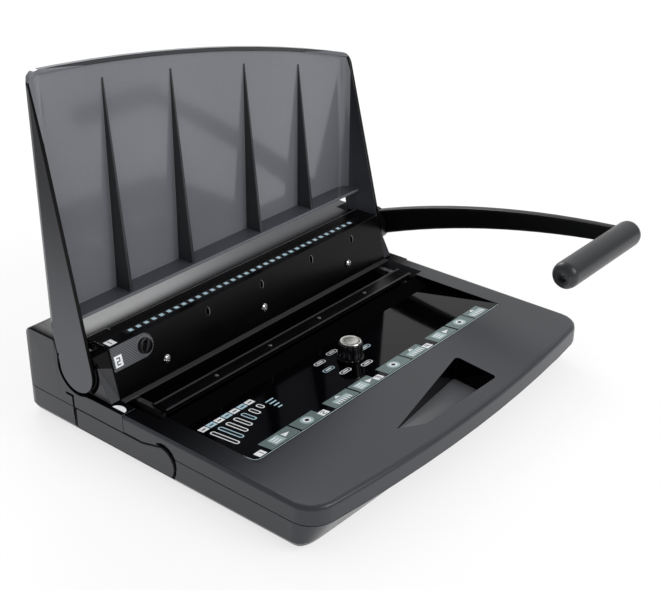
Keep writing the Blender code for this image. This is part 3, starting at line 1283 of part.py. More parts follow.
def arm_station(share):
    """Centre (y, z), direction and depth of the handle arm at a share of its length."""
    chord = math.radians(180 - ARM_PITCH)
    along = Vector((math.cos(chord), math.sin(chord)))
    normal = Vector((-along.y, along.x)) * -1
    start = Vector((AXIS_BACK, AXIS_Z))
    lift = 4 * ARM_SAG * share * (1 - share)
    centre = start + along * (ARM_REACH * share) + normal * lift
    tangent = (along * ARM_REACH + normal * (4 * ARM_SAG * (1 - 2 * share))).normalized()
    depth = ARM_ROOT_DEPTH + (ARM_TIP_DEPTH - ARM_ROOT_DEPTH) * share
    return centre, tangent, depth


def arm_ring(share, thickness, depth=None):
    """Rounded section of the handle arm, square to its run."""
    centre, tangent, own_depth = arm_station(share)
    half_depth = (depth or own_depth) / 2
    normal = Vector((-tangent.y, tangent.x))
    middle_x = ARM_INNER_X + ARM_THICKNESS / 2
    half = thickness / 2
    radius = min(ARM_EDGE_ROUND, half / 2)
    section = rounded([
        (-half, -half_depth, radius), (half, -half_depth, radius),
        (half, half_depth, radius), (-half, half_depth, radius),
    ], 2)
    ring = []
    for across, deep in section:
        point = centre + normal * deep
        ring.append((middle_x + across, point.x, point.y))
    return ring


def build_handle():
    """Curved arm with its hub, moulded grip, the bolt through the grip and the hub screw."""
    grip_share = GRIP_RADIUS / ARM_REACH
    last = 1 - grip_share * 0.75
    rings = []
    for index in range(ARM_STATIONS + 1):
        rings.append(arm_ring(last * index / ARM_STATIONS, ARM_THICKNESS))
    rings.append(arm_ring(last + grip_share / 50, TONGUE_THICKNESS, TONGUE_DEPTH))
    rings.append(arm_ring(1 + grip_share / 2, TONGUE_THICKNESS, TONGUE_DEPTH))
    arm = loft("handle_arm", rings, "dark_arm", smooth=True)
    centre = (AXIS_BACK, AXIS_Z)
    hub_start = HALF_WIDTH + HUB_GAP
    hub_end = ARM_INNER_X + ARM_THICKNESS
    soft = ARM_EDGE_ROUND
    hub_profile = [
        (hub_start, HUB_RADIUS - soft / 2), (hub_start + soft / 2, HUB_RADIUS), (hub_end - soft, HUB_RADIUS),
        (hub_end - soft / 4, HUB_RADIUS - soft / 2), (hub_end, HUB_RADIUS - soft),
    ]
    fuse(arm, turned("arm_hub", hub_profile, "X", centre, 32))
    shaft_right = hub_end - HUB_SCREW_RISE
    bore = SHAFT_RADIUS + GAP
    cut(arm, turned("arm_bore", [(hub_start - OVERRUN, bore), (shaft_right + GAP, bore)], "X", centre, 24))
    screw_hole = HUB_SCREW_SHANK + GAP
    cut(arm, turned("arm_screw_hole", [(shaft_right, screw_hole), (hub_end + OVERRUN, screw_hole)], "X", centre, 12))
    head = hub_end + GAP
    profile = [
        (shaft_right - HUB_SCREW_RADIUS, HUB_SCREW_SHANK), (head, HUB_SCREW_SHANK), (head, HUB_SCREW_RADIUS),
        (head + HUB_SCREW_RISE / 2, HUB_SCREW_RADIUS), (head + HUB_SCREW_RISE, HUB_SCREW_RADIUS * 0.6),
    ]
    turned("hub_screw", profile, "X", centre, 20, "bright_steel")
    grip_centre = (GRIP_Y, GRIP_Z)
    grip_profile = grip_end(GRIP_LEFT_X, 1) + list(reversed(grip_end(GRIP_RIGHT_X, -1)))
    grip = turned("handle_grip", grip_profile, "X", grip_centre, 28, "grip_rubber")
    tongue_room = [arm_ring(last - grip_share / 3, TONGUE_THICKNESS + GAP * 2, TONGUE_DEPTH + GAP * 2)]
    tongue_room.append(arm_ring(1 + grip_share * 0.55, TONGUE_THICKNESS + GAP * 2, TONGUE_DEPTH + GAP * 2))
    cut(grip, loft("grip_tongue_room", tongue_room))
    collar_room = [arm_ring(last - grip_share, ARM_THICKNESS + GAP * 2, ARM_TIP_DEPTH + GAP * 3)]
    collar_room.append(arm_ring(last + grip_share / 50, ARM_THICKNESS + GAP * 2, ARM_TIP_DEPTH + GAP * 3))
    cut(grip, loft("grip_collar_room", collar_room))
    bolt_end = ARM_INNER_X + ARM_THICKNESS / 2 + TONGUE_THICKNESS / 2 - GAP
    thread = [(ARM_INNER_X - OVERRUN, BOLT_RADIUS + GAP), (bolt_end + OVERRUN, BOLT_RADIUS + GAP)]
    cut(arm, turned("tongue_bore", thread, "X", grip_centre, 16))
    seat = GRIP_LEFT_X + BOLT_RECESS
    cut(grip, turned(
        "grip_bore",
        [(GRIP_LEFT_X - OVERRUN, BOLT_HEAD_RADIUS + GAP), (seat + BOLT_HEAD_LENGTH, BOLT_HEAD_RADIUS + GAP),
         (seat + BOLT_HEAD_LENGTH, BOLT_RADIUS + GAP), (bolt_end + GAP, BOLT_RADIUS + GAP)],
        "X", grip_centre, 20,
    ))
    bolt_profile = [
        (seat, BOLT_HEAD_RADIUS), (seat + BOLT_HEAD_LENGTH - GAP, BOLT_HEAD_RADIUS),
        (seat + BOLT_HEAD_LENGTH - GAP, BOLT_RADIUS), (bolt_end, BOLT_RADIUS),
    ]
    turned("grip_bolt", bolt_profile, "X", grip_centre, 20, "bright_steel")


def grip_end(end_x, direction):
    """Rounded end of the grip as (x, radius) from its tip inwards."""
    profile = []
    for step in range(5):
        turn = math.pi / 2 * step / 4
        x = end_x + direction * GRIP_END_ROUND * (1 - math.cos(turn))
        profile.append((x, GRIP_RADIUS - GRIP_END_ROUND * (1 - math.sin(turn))))
    return sorted(profile, key=lambda point: direction * point[0])


def build_drawer():
    """Open-topped chip drawer behind a face that follows the side of the body."""
    face_x = -HALF_WIDTH + DRAWER_FACE_SHEET
    face = prism("chip_drawer", drawer_face_outline(-RUNNING), "X", -HALF_WIDTH, face_x, "body_plastic")
    front = -DRAWER_NOSE_BACK - DRAWER_SIDE_MARGIN
    rear = DRAWER_REAR - DRAWER_SIDE_MARGIN
    top = PARTING_Z - DRAWER_TOP_MARGIN
    bin_block = box(
        "drawer_bin", (face_x - DRAWER_FACE_SHEET / 2, -HALF_WIDTH + DRAWER_LENGTH), (front, rear), (DRAWER_BOTTOM_Z, top),
    )
    fuse(face, bin_block)
    inside = box(
        "drawer_inside", (face_x + DRAWER_WALL, -HALF_WIDTH + DRAWER_LENGTH - DRAWER_WALL),
        (front + DRAWER_WALL, rear - DRAWER_WALL), (DRAWER_BOTTOM_Z + DRAWER_WALL, top + OVERRUN),
    )
    cut(face, inside)


def add_frame():
    """Machine frame, and one empty on the axis of each moving group, with its pieces on it."""
    frame = bpy.data.objects.new("machine_frame", None)
    bpy.context.collection.objects.link(frame)
    knob_frame = face_frame(GUIDE_KNOB_X, GUIDE_KNOB_DROP)
    axis = Vector((0, AXIS_BACK, AXIS_Z))
    groups = {
        "lid_axis": (axis, ("lid",)),
        "handle_axis": (axis, (
            "handle_arm", "handle_grip", "grip_bolt", "hub_screw", "drive_shaft", "pinion_left", "pinion_right")),
        "punch_path": (Vector((0, 0, PIN_Z)), ("punch_bar", "punch_rack_left", "punch_rack_right")),
        "closer_path": (Vector((0, 0, RIM_Z)), (
            "closer_plate", "closer_strip", "closer_rack_left", "closer_rack_right",
            "closer_screw_1", "closer_screw_2", "closer_screw_3", "closer_screw_4")),
        "size_axis": (Vector((KNOB_X, -KNOB_BACK, 0)), ("size_knob", "size_knob_cap", "size_cam")),
        "guide_axis": (knob_frame.translation.copy(), ("guide_knob",)),
        "guide_path": (Vector((0, 0, COVER_TOP_Z)), ("side_guide",)),
        "drawer_path": (Vector((-HALF_WIDTH, 0, DRAWER_BOTTOM_Z)), ("chip_drawer",)),
    }
    pieces = [piece for piece in bpy.data.objects if piece.type == "MESH"]
    for piece in pieces:
        piece.parent = frame
    for name, (origin, members) in groups.items():
        pivot = bpy.data.objects.new(name, None)
        bpy.context.collection.objects.link(pivot)
        pivot.parent = frame
        pivot.location = origin
        for member in members:
            piece = bpy.data.objects[member]
            piece.parent = pivot
            piece.matrix_basis = Matrix.Translation(-origin) @ piece.matrix_basis
    frame.location = WORLD_SHIFT
    return frame


def main():
    """Build every piece, then stand the machine on its world origin."""
    for old in list(bpy.data.objects):
        bpy.data.objects.remove(old, do_unlink=True)
    build_base_pan()
    build_feet()
    build_front_cover()
    build_panel()
    build_rear_housing()
    build_punch_cover()
    build_cover_screws()
    build_front_rail()
    build_die_set()
    build_punch_bar()
    build_racks()
    build_drive()
    build_closer()
    build_size_knob()
    build_side_guide()
    build_end_caps()
    build_lid()
    build_handle()
    build_drawer()
    add_frame()


main()
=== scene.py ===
# %% [markdown]
# # Dressing a wire binding machine
#
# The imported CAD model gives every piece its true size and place. This lesson lays a finished
# skin over it: moulded shells with soft edges, a gloss black punch unit, printed marks and
# turned knobs. Every shape is measured in millimetres from the row of punched holes.

# %% Load the CAD frame
import json
import math

import bmesh
import bpy
import numpy as np
from mathutils import Matrix, Vector


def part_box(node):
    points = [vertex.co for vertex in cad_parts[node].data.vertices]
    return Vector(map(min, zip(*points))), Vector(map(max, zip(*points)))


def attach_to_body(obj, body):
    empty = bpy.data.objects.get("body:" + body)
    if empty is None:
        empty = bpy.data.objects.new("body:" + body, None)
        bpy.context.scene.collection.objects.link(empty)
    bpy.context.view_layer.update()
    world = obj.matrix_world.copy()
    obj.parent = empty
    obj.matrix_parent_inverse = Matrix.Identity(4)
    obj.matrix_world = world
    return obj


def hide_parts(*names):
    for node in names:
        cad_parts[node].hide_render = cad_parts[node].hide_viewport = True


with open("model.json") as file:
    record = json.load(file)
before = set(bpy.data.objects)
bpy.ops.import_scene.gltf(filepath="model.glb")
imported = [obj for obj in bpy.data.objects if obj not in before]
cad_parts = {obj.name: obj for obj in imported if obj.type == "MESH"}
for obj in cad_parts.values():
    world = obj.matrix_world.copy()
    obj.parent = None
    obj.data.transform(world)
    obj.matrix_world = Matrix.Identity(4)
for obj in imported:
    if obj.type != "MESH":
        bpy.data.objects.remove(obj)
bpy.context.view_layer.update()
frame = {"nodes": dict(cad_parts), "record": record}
body_of = {node: body for body, nodes in frame["record"]["behaviour"]["bodies"].items() for node in nodes}
slot_of = {entry["node"]: entry["material_slot"] for entry in frame["record"]["subparts"]}

# %% [markdown]
# ## Where the hole row is
#
# Most features of such a machine are laid out from the row of punched holes, so it is the
# natural zero for drawing. The base pan tells where the row lies in the frame: it is centred
# across the pan, and the pan's rear wall stands 83 mm behind it.

# %% Turn machine millimetres into frame metres
REAR_WALL = 83.0
pan_low, pan_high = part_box("base_pan")
ROW = np.array([(pan_low.x + pan_high.x) / 2, pan_high.y - REAR_WALL / 1000, 0.0])


def to_frame(points):
    """Machine millimetres become frame metres: divide by a thousand, then add the row's place."""
    return np.asarray(points, float) / 1000 + ROW


def node_span(node):
    """Lowest and highest corner of a CAD node in machine millimetres."""
    low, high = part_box(node)
    return (np.array(low) - ROW) * 1000, (np.array(high) - ROW) * 1000


print("row of holes at", np.round(ROW, 5))

# %% [markdown]
# ## Effects shared by several finishes
#
# Moulded plastic is never one flat colour: the tool leaves a fine eroded grain, the tone
# drifts a little over a large wall, and hands leave faint marks. Each effect is a node group,
# so that one recipe serves several finishes at different strengths.

# %% Helpers that place shader nodes
def connect(tree, value, socket):
    """Link a socket to an input, or set the input to a plain value."""
    if isinstance(value, bpy.types.NodeSocket):
        tree.links.new(value, socket)
    else:
        socket.default_value = value


def feed(tree, node, **values):
    """Give a node its inputs by name, with _ in place of a space."""
    for label, value in values.items():
        connect(tree, value, node.inputs[label.replace("_", " ")])


def add_node(tree, kind, **values):
    """New shader node with its inputs given by name."""
    node = tree.nodes.new("ShaderNode" + kind)
    feed(tree, node, **values)
    return node


def object_place(tree):
    """Socket with the place on the object, in metres."""
    return add_node(tree, "TexCoord").outputs["Object"]


def mapped(tree, vector, **settings):
    """Vector moved, turned or stretched by a Mapping node's Location, Rotation or Scale."""
    return add_node(tree, "Mapping", Vector=vector, **settings).outputs["Vector"]


def noise(tree, vector, scale, detail=2.0, roughness=0.5):
    """Value of a noise texture."""
    node = add_node(tree, "TexNoise", Vector=vector, Scale=scale, Detail=detail, Roughness=roughness)
    return node.outputs["Fac"]


def spread(tree, value, low, high, from_low=0.3, from_high=0.7):
    """Value stretched to a new span by a Map Range node, easing in and out at its ends."""
    node = tree.nodes.new("ShaderNodeMapRange")
    node.interpolation_type = "SMOOTHSTEP"
    feed(tree, node, Value=value, From_Min=from_low, From_Max=from_high, To_Min=low, To_Max=high)
    return node.outputs["Result"]


def arithmetic(tree, operation, first, second):
    """Math node; each operand is a socket or a number."""
    node = tree.nodes.new("ShaderNodeMath")
    node.operation = operation
    for socket, operand in zip(node.inputs, (first, second)):
        connect(tree, operand, socket)
    return node.outputs["Value"]


def vector_math(tree, operation, first, second=(0, 0, 0), result="Vector"):
    """Vector Math node; for SCALE the second operand is a number."""
    node = tree.nodes.new("ShaderNodeVectorMath")
    node.operation = operation
    connect(tree, first, node.inputs[0])
    connect(tree, second, node.inputs["Scale" if operation == "SCALE" else 1])
    return node.outputs[result]


def new_group(name, inputs, outputs):
    """Empty shader group with named sockets: (name, socket kind, default) in, (name, kind) out.

    Gives the group's tree, the sockets that bring its inputs and the node that takes its outputs.
    """
    tree = bpy.data.node_groups.new(name, "ShaderNodeTree")
    for label, kind, default in inputs:
        socket = tree.interface.new_socket(label, in_out="INPUT", socket_type="NodeSocket" + kind)
        if default is not None:
            socket.default_value = default
    for label, kind in outputs:
        tree.interface.new_socket(label, in_out="OUTPUT", socket_type="NodeSocket" + kind)
    return tree, tree.nodes.new("NodeGroupInput").outputs, tree.nodes.new("NodeGroupOutput")


# %% Eroded grain of moulded plastic
tree, given, result = new_group(
    "eroded_grain",
    [("Colour", "Color", (0.1, 0.1, 0.1, 1)), ("Grain Scale", "Float", 1500.0), ("Tone Drift", "Float", 0.08),
     ("Roughness", "Float", 0.45), ("Roughness Drift", "Float", 0.015)],
    [("Colour", "Color"), ("Roughness", "Float"), ("Height", "Float")],
)
grain_group = tree
place = object_place(tree)
sway = spread(tree, noise(tree, place, 9.0, 3.0), -1, 1)
quick = noise(tree, place, given["Grain Scale"], 2.0, 0.6)
tone = arithmetic(tree, "MULTIPLY", sway, given["Tone Drift"])
speck = arithmetic(tree, "MULTIPLY", spread(tree, quick, -0.5, 0.5), given["Tone Drift"])
gain = arithmetic(tree, "ADD", arithmetic(tree, "ADD", tone, speck), 1.0)
rough = arithmetic(tree, "MULTIPLY", sway, given["Roughness Drift"])
feed(
    tree, result, Colour=vector_math(tree, "SCALE", given["Colour"], gain),
    Roughness=arithmetic(tree, "ADD", rough, given["Roughness"]), Height=quick,
)
print("group", tree.name, len(tree.nodes), "nodes")

# %% Fine dust and wiping marks on gloss
tree, given, result = new_group(
    "wiping_marks", [("Roughness", "Float", 0.08), ("Strength", "Float", 0.06)], [("Roughness", "Float")],
)
wipe_group = tree
place = object_place(tree)
stretched = mapped(tree, place, Scale=(14.0, 90.0, 90.0), Rotation=(0.0, 0.0, 0.35))
streak = spread(tree, noise(tree, stretched, 1.0, 5.0, 0.6), 0, 1, 0.45, 0.75)
blot = spread(tree, noise(tree, place, 22.0, 3.0), 0, 1, 0.4, 0.65)
raised = arithmetic(tree, "MULTIPLY", arithmetic(tree, "MULTIPLY", streak, blot), given["Strength"])
feed(tree, result, Roughness=arithmetic(tree, "ADD", raised, given["Roughness"]))
print("group", tree.name, len(tree.nodes), "nodes")

# %% Drawn lines of rolled and turned steel
tree, given, result = new_group(
    "drawn_lines",
    [("Vector", "Vector", None), ("Colour", "Color", (0.6, 0.6, 0.6, 1)), ("Roughness", "Float", 0.3)],
    [("Colour", "Color"), ("Roughness", "Float"), ("Height", "Float")],
)
drawn_group = tree
line = noise(tree, mapped(tree, given["Vector"], Scale=(40.0, 2600.0, 2600.0)), 1.0)
feed(
    tree, result, Height=line,
    Colour=vector_math(tree, "SCALE", given["Colour"], spread(tree, line, 0.86, 1.08)),
    Roughness=arithmetic(tree, "ADD", spread(tree, line, -0.07, 0.07), given["Roughness"]),
)
print("group", tree.name, len(tree.nodes), "nodes")

# %% [markdown]
# ## The finishes
#
# Three families cover the machine. Grained plastic is used for the shells and the grip,
# smooth gloss for the lid, cover and tray, and metal for screws and the drive. A finish
# places a group in its own material and joins it to one Principled shader.

# %% How each kind of finish is built
DRAWN_DEPTH = 0.000006
finishes = {}


def start_finish(name):
    """New material among the finishes; gives its tree and its Principled shader."""
    material = bpy.data.materials.new(name)
    material.use_nodes = True
    finishes[name] = material
    return material.node_tree, material.node_tree.nodes["Principled BSDF"]


def place_group(tree, group, **values):
    """Put a node group in a material, with its inputs given by name."""
    node = tree.nodes.new("ShaderNodeGroup")
    node.node_tree = group
    feed(tree, node, **values)
    return node.outputs


def add_bump(tree, shader, height, distance):
    """Bump node from a height to the shader's normal; distance is in metres."""
    bump = add_node(tree, "Bump", Height=height, Distance=distance, Strength=1.0)
    feed(tree, shader, Normal=bump.outputs["Normal"])


def grained(name, colour, roughness, grain=1500.0, drift=0.08, depth=0.00003, specular=0.5):
    """Grained plastic or rubber."""
    tree, shader = start_finish(name)
    made = place_group(
        tree, grain_group, Colour=(*colour, 1), Grain_Scale=grain, Tone_Drift=drift, Roughness=roughness,
    )
    feed(tree, shader, Base_Color=made["Colour"], Roughness=made["Roughness"], Specular_IOR_Level=specular)
    add_bump(tree, shader, made["Height"], depth)


def glossy(name, colour, roughness, strength, specular=0.5, coat=0.0):
    """Smooth gloss with wiping marks; the colour drifts very slightly."""
    tree, shader = start_finish(name)
    tone = place_group(tree, grain_group, Colour=(*colour, 1), Grain_Scale=700.0, Tone_Drift=0.06)
    wiped = place_group(tree, wipe_group, Roughness=roughness, Strength=strength)
    feed(tree, shader, Base_Color=tone["Colour"], Roughness=wiped["Roughness"], Specular_IOR_Level=specular)
    feed(tree, shader, Coat_Weight=coat, Coat_Roughness=0.06)


def metal(name, colour, roughness, centre=None):
    """Metal with drawn lines along X, or with turned rings round a centre in millimetres."""
    tree, shader = start_finish(name)
    vector = object_place(tree)
    if centre is not None:
        vector = mapped(tree, vector, Location=tuple(-to_frame(centre)))
        apart = add_node(tree, "SeparateXYZ", Vector=vector).outputs
        flat = add_node(tree, "CombineXYZ", X=apart["X"], Y=apart["Y"]).outputs["Vector"]
        reach = vector_math(tree, "LENGTH", flat, result="Value")
        vector = add_node(tree, "CombineXYZ", Y=reach).outputs["Vector"]
    made = place_group(tree, drawn_group, Vector=vector, Colour=(*colour, 1), Roughness=roughness)
    feed(tree, shader, Base_Color=made["Colour"], Roughness=made["Roughness"], Metallic=1.0)
    add_bump(tree, shader, made["Height"], DRAWN_DEPTH)


# %% The list of finishes
KNOB_CENTRE = (4.0, -111.0, 0.0)
INK_GRAIN, INK_DEPTH = 2200.0, 0.000004
# Some finishes here carry painted light: the fading top and band greys, the lid's darker sides and ribs, the
# ramp's lighter grey, and the pale, lip and mist tones where they draw edge highlights.
for name in ("shell_grey", "top_painted_shade", "band_painted_shade"):
    grained(name, (0.036, 0.0375, 0.044), 0.29, drift=0.03, specular=0.36)
grained("ramp_painted_light", (0.092, 0.094, 0.102), 0.34, specular=0.36)
grained("cap_grey", (0.033, 0.034, 0.039), 0.34, specular=0.35)
glossy("lid_smoke", (0.136, 0.140, 0.157), 0.12, 0.02, coat=0.15)
glossy("lid_painted_shade", (0.044, 0.046, 0.054), 0.22, 0.05, specular=0.36)
glossy("lid_rib_painted_shade", (0.026, 0.027, 0.031), 0.16, 0.05, specular=0.3)
glossy("cover_black", (0.0012, 0.0012, 0.0015), 0.20, 0.06, specular=0.14)
glossy("tray_black", (0.0006, 0.0006, 0.0010), 0.06, 0.04, specular=0.13)
glossy("lip_grey_and_highlight", (0.034, 0.034, 0.036), 0.30, 0.06, specular=0.4)
glossy("knob_black", (0.004, 0.004, 0.005), 0.14, 0.06)
grained("arm_black", (0.003, 0.003, 0.0034), 0.34, 900.0, 0.05, 0.00001, 0.25)
grained("grip_grey", (0.024, 0.025, 0.028), 0.33, 1200.0, specular=0.42)
grained("pale_grey_and_highlight", (0.13, 0.135, 0.145), 0.45, 1800.0, 0.15)
grained("foot_rubber", (0.012, 0.012, 0.012), 0.85, 900.0, 0.1, 0.00006, 0.3)
for name, colour, drift in (
    ("ink_white", (0.78, 0.80, 0.82), 0.04), ("ink_blue", (0.43, 0.60, 0.68), 0.06),
    ("ink_sage", (0.12, 0.17, 0.165), 0.16), ("mist_ink_and_highlight", (0.36, 0.46, 0.47), 0.12),
):
    grained(name, colour, 0.45, INK_GRAIN, drift, INK_DEPTH)
grained("ink_black", (0.0018, 0.0018, 0.0024), 0.40, INK_GRAIN, 0.04, INK_DEPTH, 0.2)
grained("gap_shadow", (0.0012, 0.0012, 0.0014), 0.9, 900.0, 0.05, INK_DEPTH, 0.02)
metal("steel", (0.60, 0.61, 0.62), 0.28)
metal("screw_chrome", (0.8, 0.8, 0.8), 0.16)
metal("screw_dark", (0.3, 0.3, 0.31), 0.3)
metal("bearing_bronze", (0.43, 0.29, 0.13), 0.35)
metal("cap_silver", (0.78, 0.77, 0.73), 0.24, KNOB_CENTRE)
print("finishes:", ", ".join(finishes))

# %% [markdown]
# The plate beside the guide knob has fine crossed lines. Two wave textures, turned to either
# side, give the hatching; the second is much weaker.

# %% The hatched plate
PLATE_PITCH = 0.0018  # metres between two lines
WAVE_PERIOD = 0.314  # metres between the lines of a wave texture of scale one
tree, shader = start_finish("plate_grey")
place = object_place(tree)
first, second = (
    add_node(
        tree, "TexWave", Scale=WAVE_PERIOD / PLATE_PITCH,
        Vector=mapped(tree, place, Rotation=(0.0, turn, 0.0)),
    ).outputs["Fac"]
    for turn in (0.75, -0.75)
)
hatching = arithmetic(tree, "MAXIMUM", first, arithmetic(tree, "MULTIPLY", second, 0.25))
made = place_group(
    tree, grain_group, Colour=(0.095, 0.098, 0.108, 1), Grain_Scale=1800.0, Tone_Drift=0.1, Roughness=0.45,
)
woven = vector_math(tree, "SCALE", made["Colour"], spread(tree, hatching, 0.45, 1.2, 0.2, 0.8))
feed(tree, shader, Base_Color=woven, Roughness=made["Roughness"])
add_bump(tree, shader, hatching, 0.00006)
print("hatched plate:", len(tree.nodes), "nodes")

# %% [markdown]
# Three finishes carry painted light and shade that fades over their surface: painted shade on the
# top beside the tray, standing in for a dark reflection, painted shade on the housing's top at its
# front and left end, and a painted reflection on the lid's sides that darkens upwards. A fade
# scales colour and specular level.

# %% Finishes that fade
TRAY_LINE, TRAY_SLOPE = 0.0925, 0.29
FADE_WIDTH, WIDTH_SLOPE = 0.0505, 0.164


def fade(name, factor):
    """Scale a finish's base colour and specular level by a factor made by the given function."""
    tree = finishes[name].node_tree
    shader = tree.nodes["Principled BSDF"]
    apart = add_node(tree, "SeparateXYZ", Vector=object_place(tree)).outputs
    amount = factor(tree, apart["X"], apart["Y"], apart["Z"])
    colour = vector_math(tree, "SCALE", shader.inputs["Base Color"].links[0].from_socket, amount)
    level = arithmetic(tree, "MULTIPLY", amount, shader.inputs["Specular IOR Level"].default_value)
    feed(tree, shader, Base_Color=colour, Specular_IOR_Level=level)


def towards_tray(tree, x, y, z):
    """Painted shade standing in for a dark reflection: full tone in front, fading to black behind the line y
    = -92.5 + 0.29 x of the machine's top.
    """
    behind = arithmetic(tree, "SUBTRACT", y, ROW[1] - TRAY_LINE)
    behind = arithmetic(tree, "SUBTRACT", behind, arithmetic(tree, "MULTIPLY", x, TRAY_SLOPE))
    width = arithmetic(tree, "SUBTRACT", FADE_WIDTH, arithmetic(tree, "MULTIPLY", x, WIDTH_SLOPE))
    return spread(tree, arithmetic(tree, "DIVIDE", behind, width), 1.0, 0.06, -1.15, 1.05)


def towards_nose(tree, x, y, z):
    """Painted shade: dark at the housing's front nose and at its left end, full tone behind and inside them.
    """
    depth = spread(tree, y, 0.08, 0.92, ROW[1] + 0.021, ROW[1] + 0.038)
    end = ROW[0] - 0.186
    inside = spread(tree, x, 0.30, 1.0, end + 0.012, end + 0.035)
    edge = spread(tree, x, 0.02, 1.0, end + 0.0005, end + 0.011)
    return arithmetic(tree, "MULTIPLY", depth, arithmetic(tree, "MULTIPLY", inside, edge))


fade("top_painted_shade", towards_tray)
fade("band_painted_shade", towards_nose)
# Painted reflection on the lid's sides: brighter low down, darker upwards.
fade("lid_painted_shade", lambda tree, x, y, z: spread(tree, z, 1.25, 0.40, 0.07, 0.23))
SLOT_FINISH = {
    "body_plastic": "shell_grey", "lid_plastic": "lid_smoke", "gloss_black": "tray_black",
    "painted_steel": "cover_black", "bright_steel": "steel", "bronze": "bearing_bronze",
    "dark_arm": "arm_black", "grip_rubber": "grip_grey", "silver": "cap_silver",
    "grey_plate": "plate_grey", "foot_rubber": "foot_rubber",
}
print("fading finishes: 3; slots with a finish:", len(SLOT_FINISH))

# %% [markdown]
# ## Soft edges on the shells
#
# A moulded or folded edge always has a small radius, and that radius is what catches the
# light. A copy of the CAD mesh is welded, its flat triangles are joined into whole faces, and
# a Bevel modifier rounds every edge that turns sharply. Two skins also change a little in
# shape: the pan's front wall leans inwards at its foot, and the rear housing's top thins
# towards its front. The end caps get an edge where their colour changes.

# %% Shapes that a skin adds to its solid
CUT_SLACK = 0.00001
CAP_LINE = 69.5
PAN_BOTTOM, LIMIT_SPAN = 4.0, 5.0
LOW_LIMIT, HIGH_LIMIT = 20.0, 26.0


def cut_edges(work, spot, way):
    """Cut new edges where a plane meets the mesh; spot is in machine millimetres."""
    everything = [*work.verts, *work.edges, *work.faces]
    bmesh.ops.bisect_plane(work, geom=everything, plane_co=to_frame(spot), plane_no=way, dist=CUT_SLACK)


def thin_edge(work, front, reach, radius, under, sheet):
    """Thin a level sheet towards its front: the top falls by radius - sqrt(radius^2 - (end - y)^2).

    The underside stays level at the height under, so nothing sinks into what lies below.
    """
    end = front + reach
    for y in np.linspace(front, end, 11)[1:]:
        cut_edges(work, (0, y, 0), (0, 1, 0))
    nose = [vert for vert in work.verts if vert.co.z * 1000 > under + 0.1 and vert.co.y < ROW[1] + end / 1000]
    behind = np.array([end - (vert.co.y - ROW[1]) * 1000 for vert in nose])
    drops = radius - np.sqrt(radius ** 2 - behind ** 2)
    for vert, drop in zip(nose, drops):
        vert.co.z = (under + (vert.co.z * 1000 - under) * (1 - drop / sheet)) / 1000


def undercut(work, start, height):
    """Draw a pan's foot back under its front: a reach t past start becomes s - s * exp(-t / s).

    The limit s grows from its low to its high value over a few millimetres of height, so that
    the front wall leans inwards and its foot runs nearly straight under the bowed edge above.
    """
    foot = [vert for vert in work.verts if vert.co.z * 1000 < height and (vert.co.y - ROW[1]) * 1000 < start]
    place = (np.array([vert.co for vert in foot]) - ROW) * 1000
    limit = LOW_LIMIT + (HIGH_LIMIT - LOW_LIMIT) * (place[:, 2] - PAN_BOTTOM) / LIMIT_SPAN
    reach = limit * (1 - np.exp(-(start - place[:, 1]) / limit))
    for vert, y in zip(foot, ROW[1] + (start - reach) / 1000):
        vert.co.y = y


RESHAPE = {
    "rear_housing": lambda work: thin_edge(work, front=20.0, reach=20.0, radius=100.0, under=79.5, sheet=2.5),
    "base_pan": lambda work: undercut(work, start=-205.0, height=10.0),
}
for name in ("end_cap_left", "end_cap_right"):
    RESHAPE[name] = lambda work: cut_edges(work, (0, 0, CAP_LINE), (0, 0, 1))
print("reshaped skins:", ", ".join(RESHAPE))

# %% Skins made from the CAD solids
WELD, FLAT_TURN, SHARP_TURN = 0.00002, math.radians(0.6), math.radians(32)


def link_object(name, data):
    """New object in the scene."""
    piece = bpy.data.objects.new(name, data)
    bpy.context.scene.collection.objects.link(piece)
    return piece


def attach(piece, body):
    """Let the piece move with a body."""
    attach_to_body(piece, body)
    return piece


def dressed(node, finish, radius):
    """Welded copy of a CAD node with rounded edges; radius is in millimetres."""
    mesh = frame["nodes"][node].data.copy()
    mesh.name = node + "_skin"
    work = bmesh.new()
    work.from_mesh(mesh)
    bmesh.ops.remove_doubles(work, verts=work.verts, dist=WELD)
    bmesh.ops.dissolve_limit(work, angle_limit=FLAT_TURN, verts=work.verts, edges=work.edges)
    if node in RESHAPE:
        RESHAPE[node](work)
    work.to_mesh(mesh)
    work.free()
    mesh.materials.clear()
    mesh.materials.append(finishes[finish])
    piece = link_object(node + "_skin", mesh)
    mesh.shade_smooth()
    mesh.set_sharp_from_angle(angle=SHARP_TURN)
    bevel = piece.modifiers.new("soft_edge", "BEVEL")
    bevel.width = radius / 1000
    bevel.segments = 2
    bevel.limit_method = "ANGLE"
    bevel.angle_limit = SHARP_TURN
    bevel.use_clamp_overlap = False
    bevel.miter_outer = "MITER_SHARP"
    even = piece.modifiers.new("even_light", "WEIGHTED_NORMAL")
    even.keep_sharp = True
    even.weight = 80
    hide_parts(node)
    return attach(piece, body_of[node])


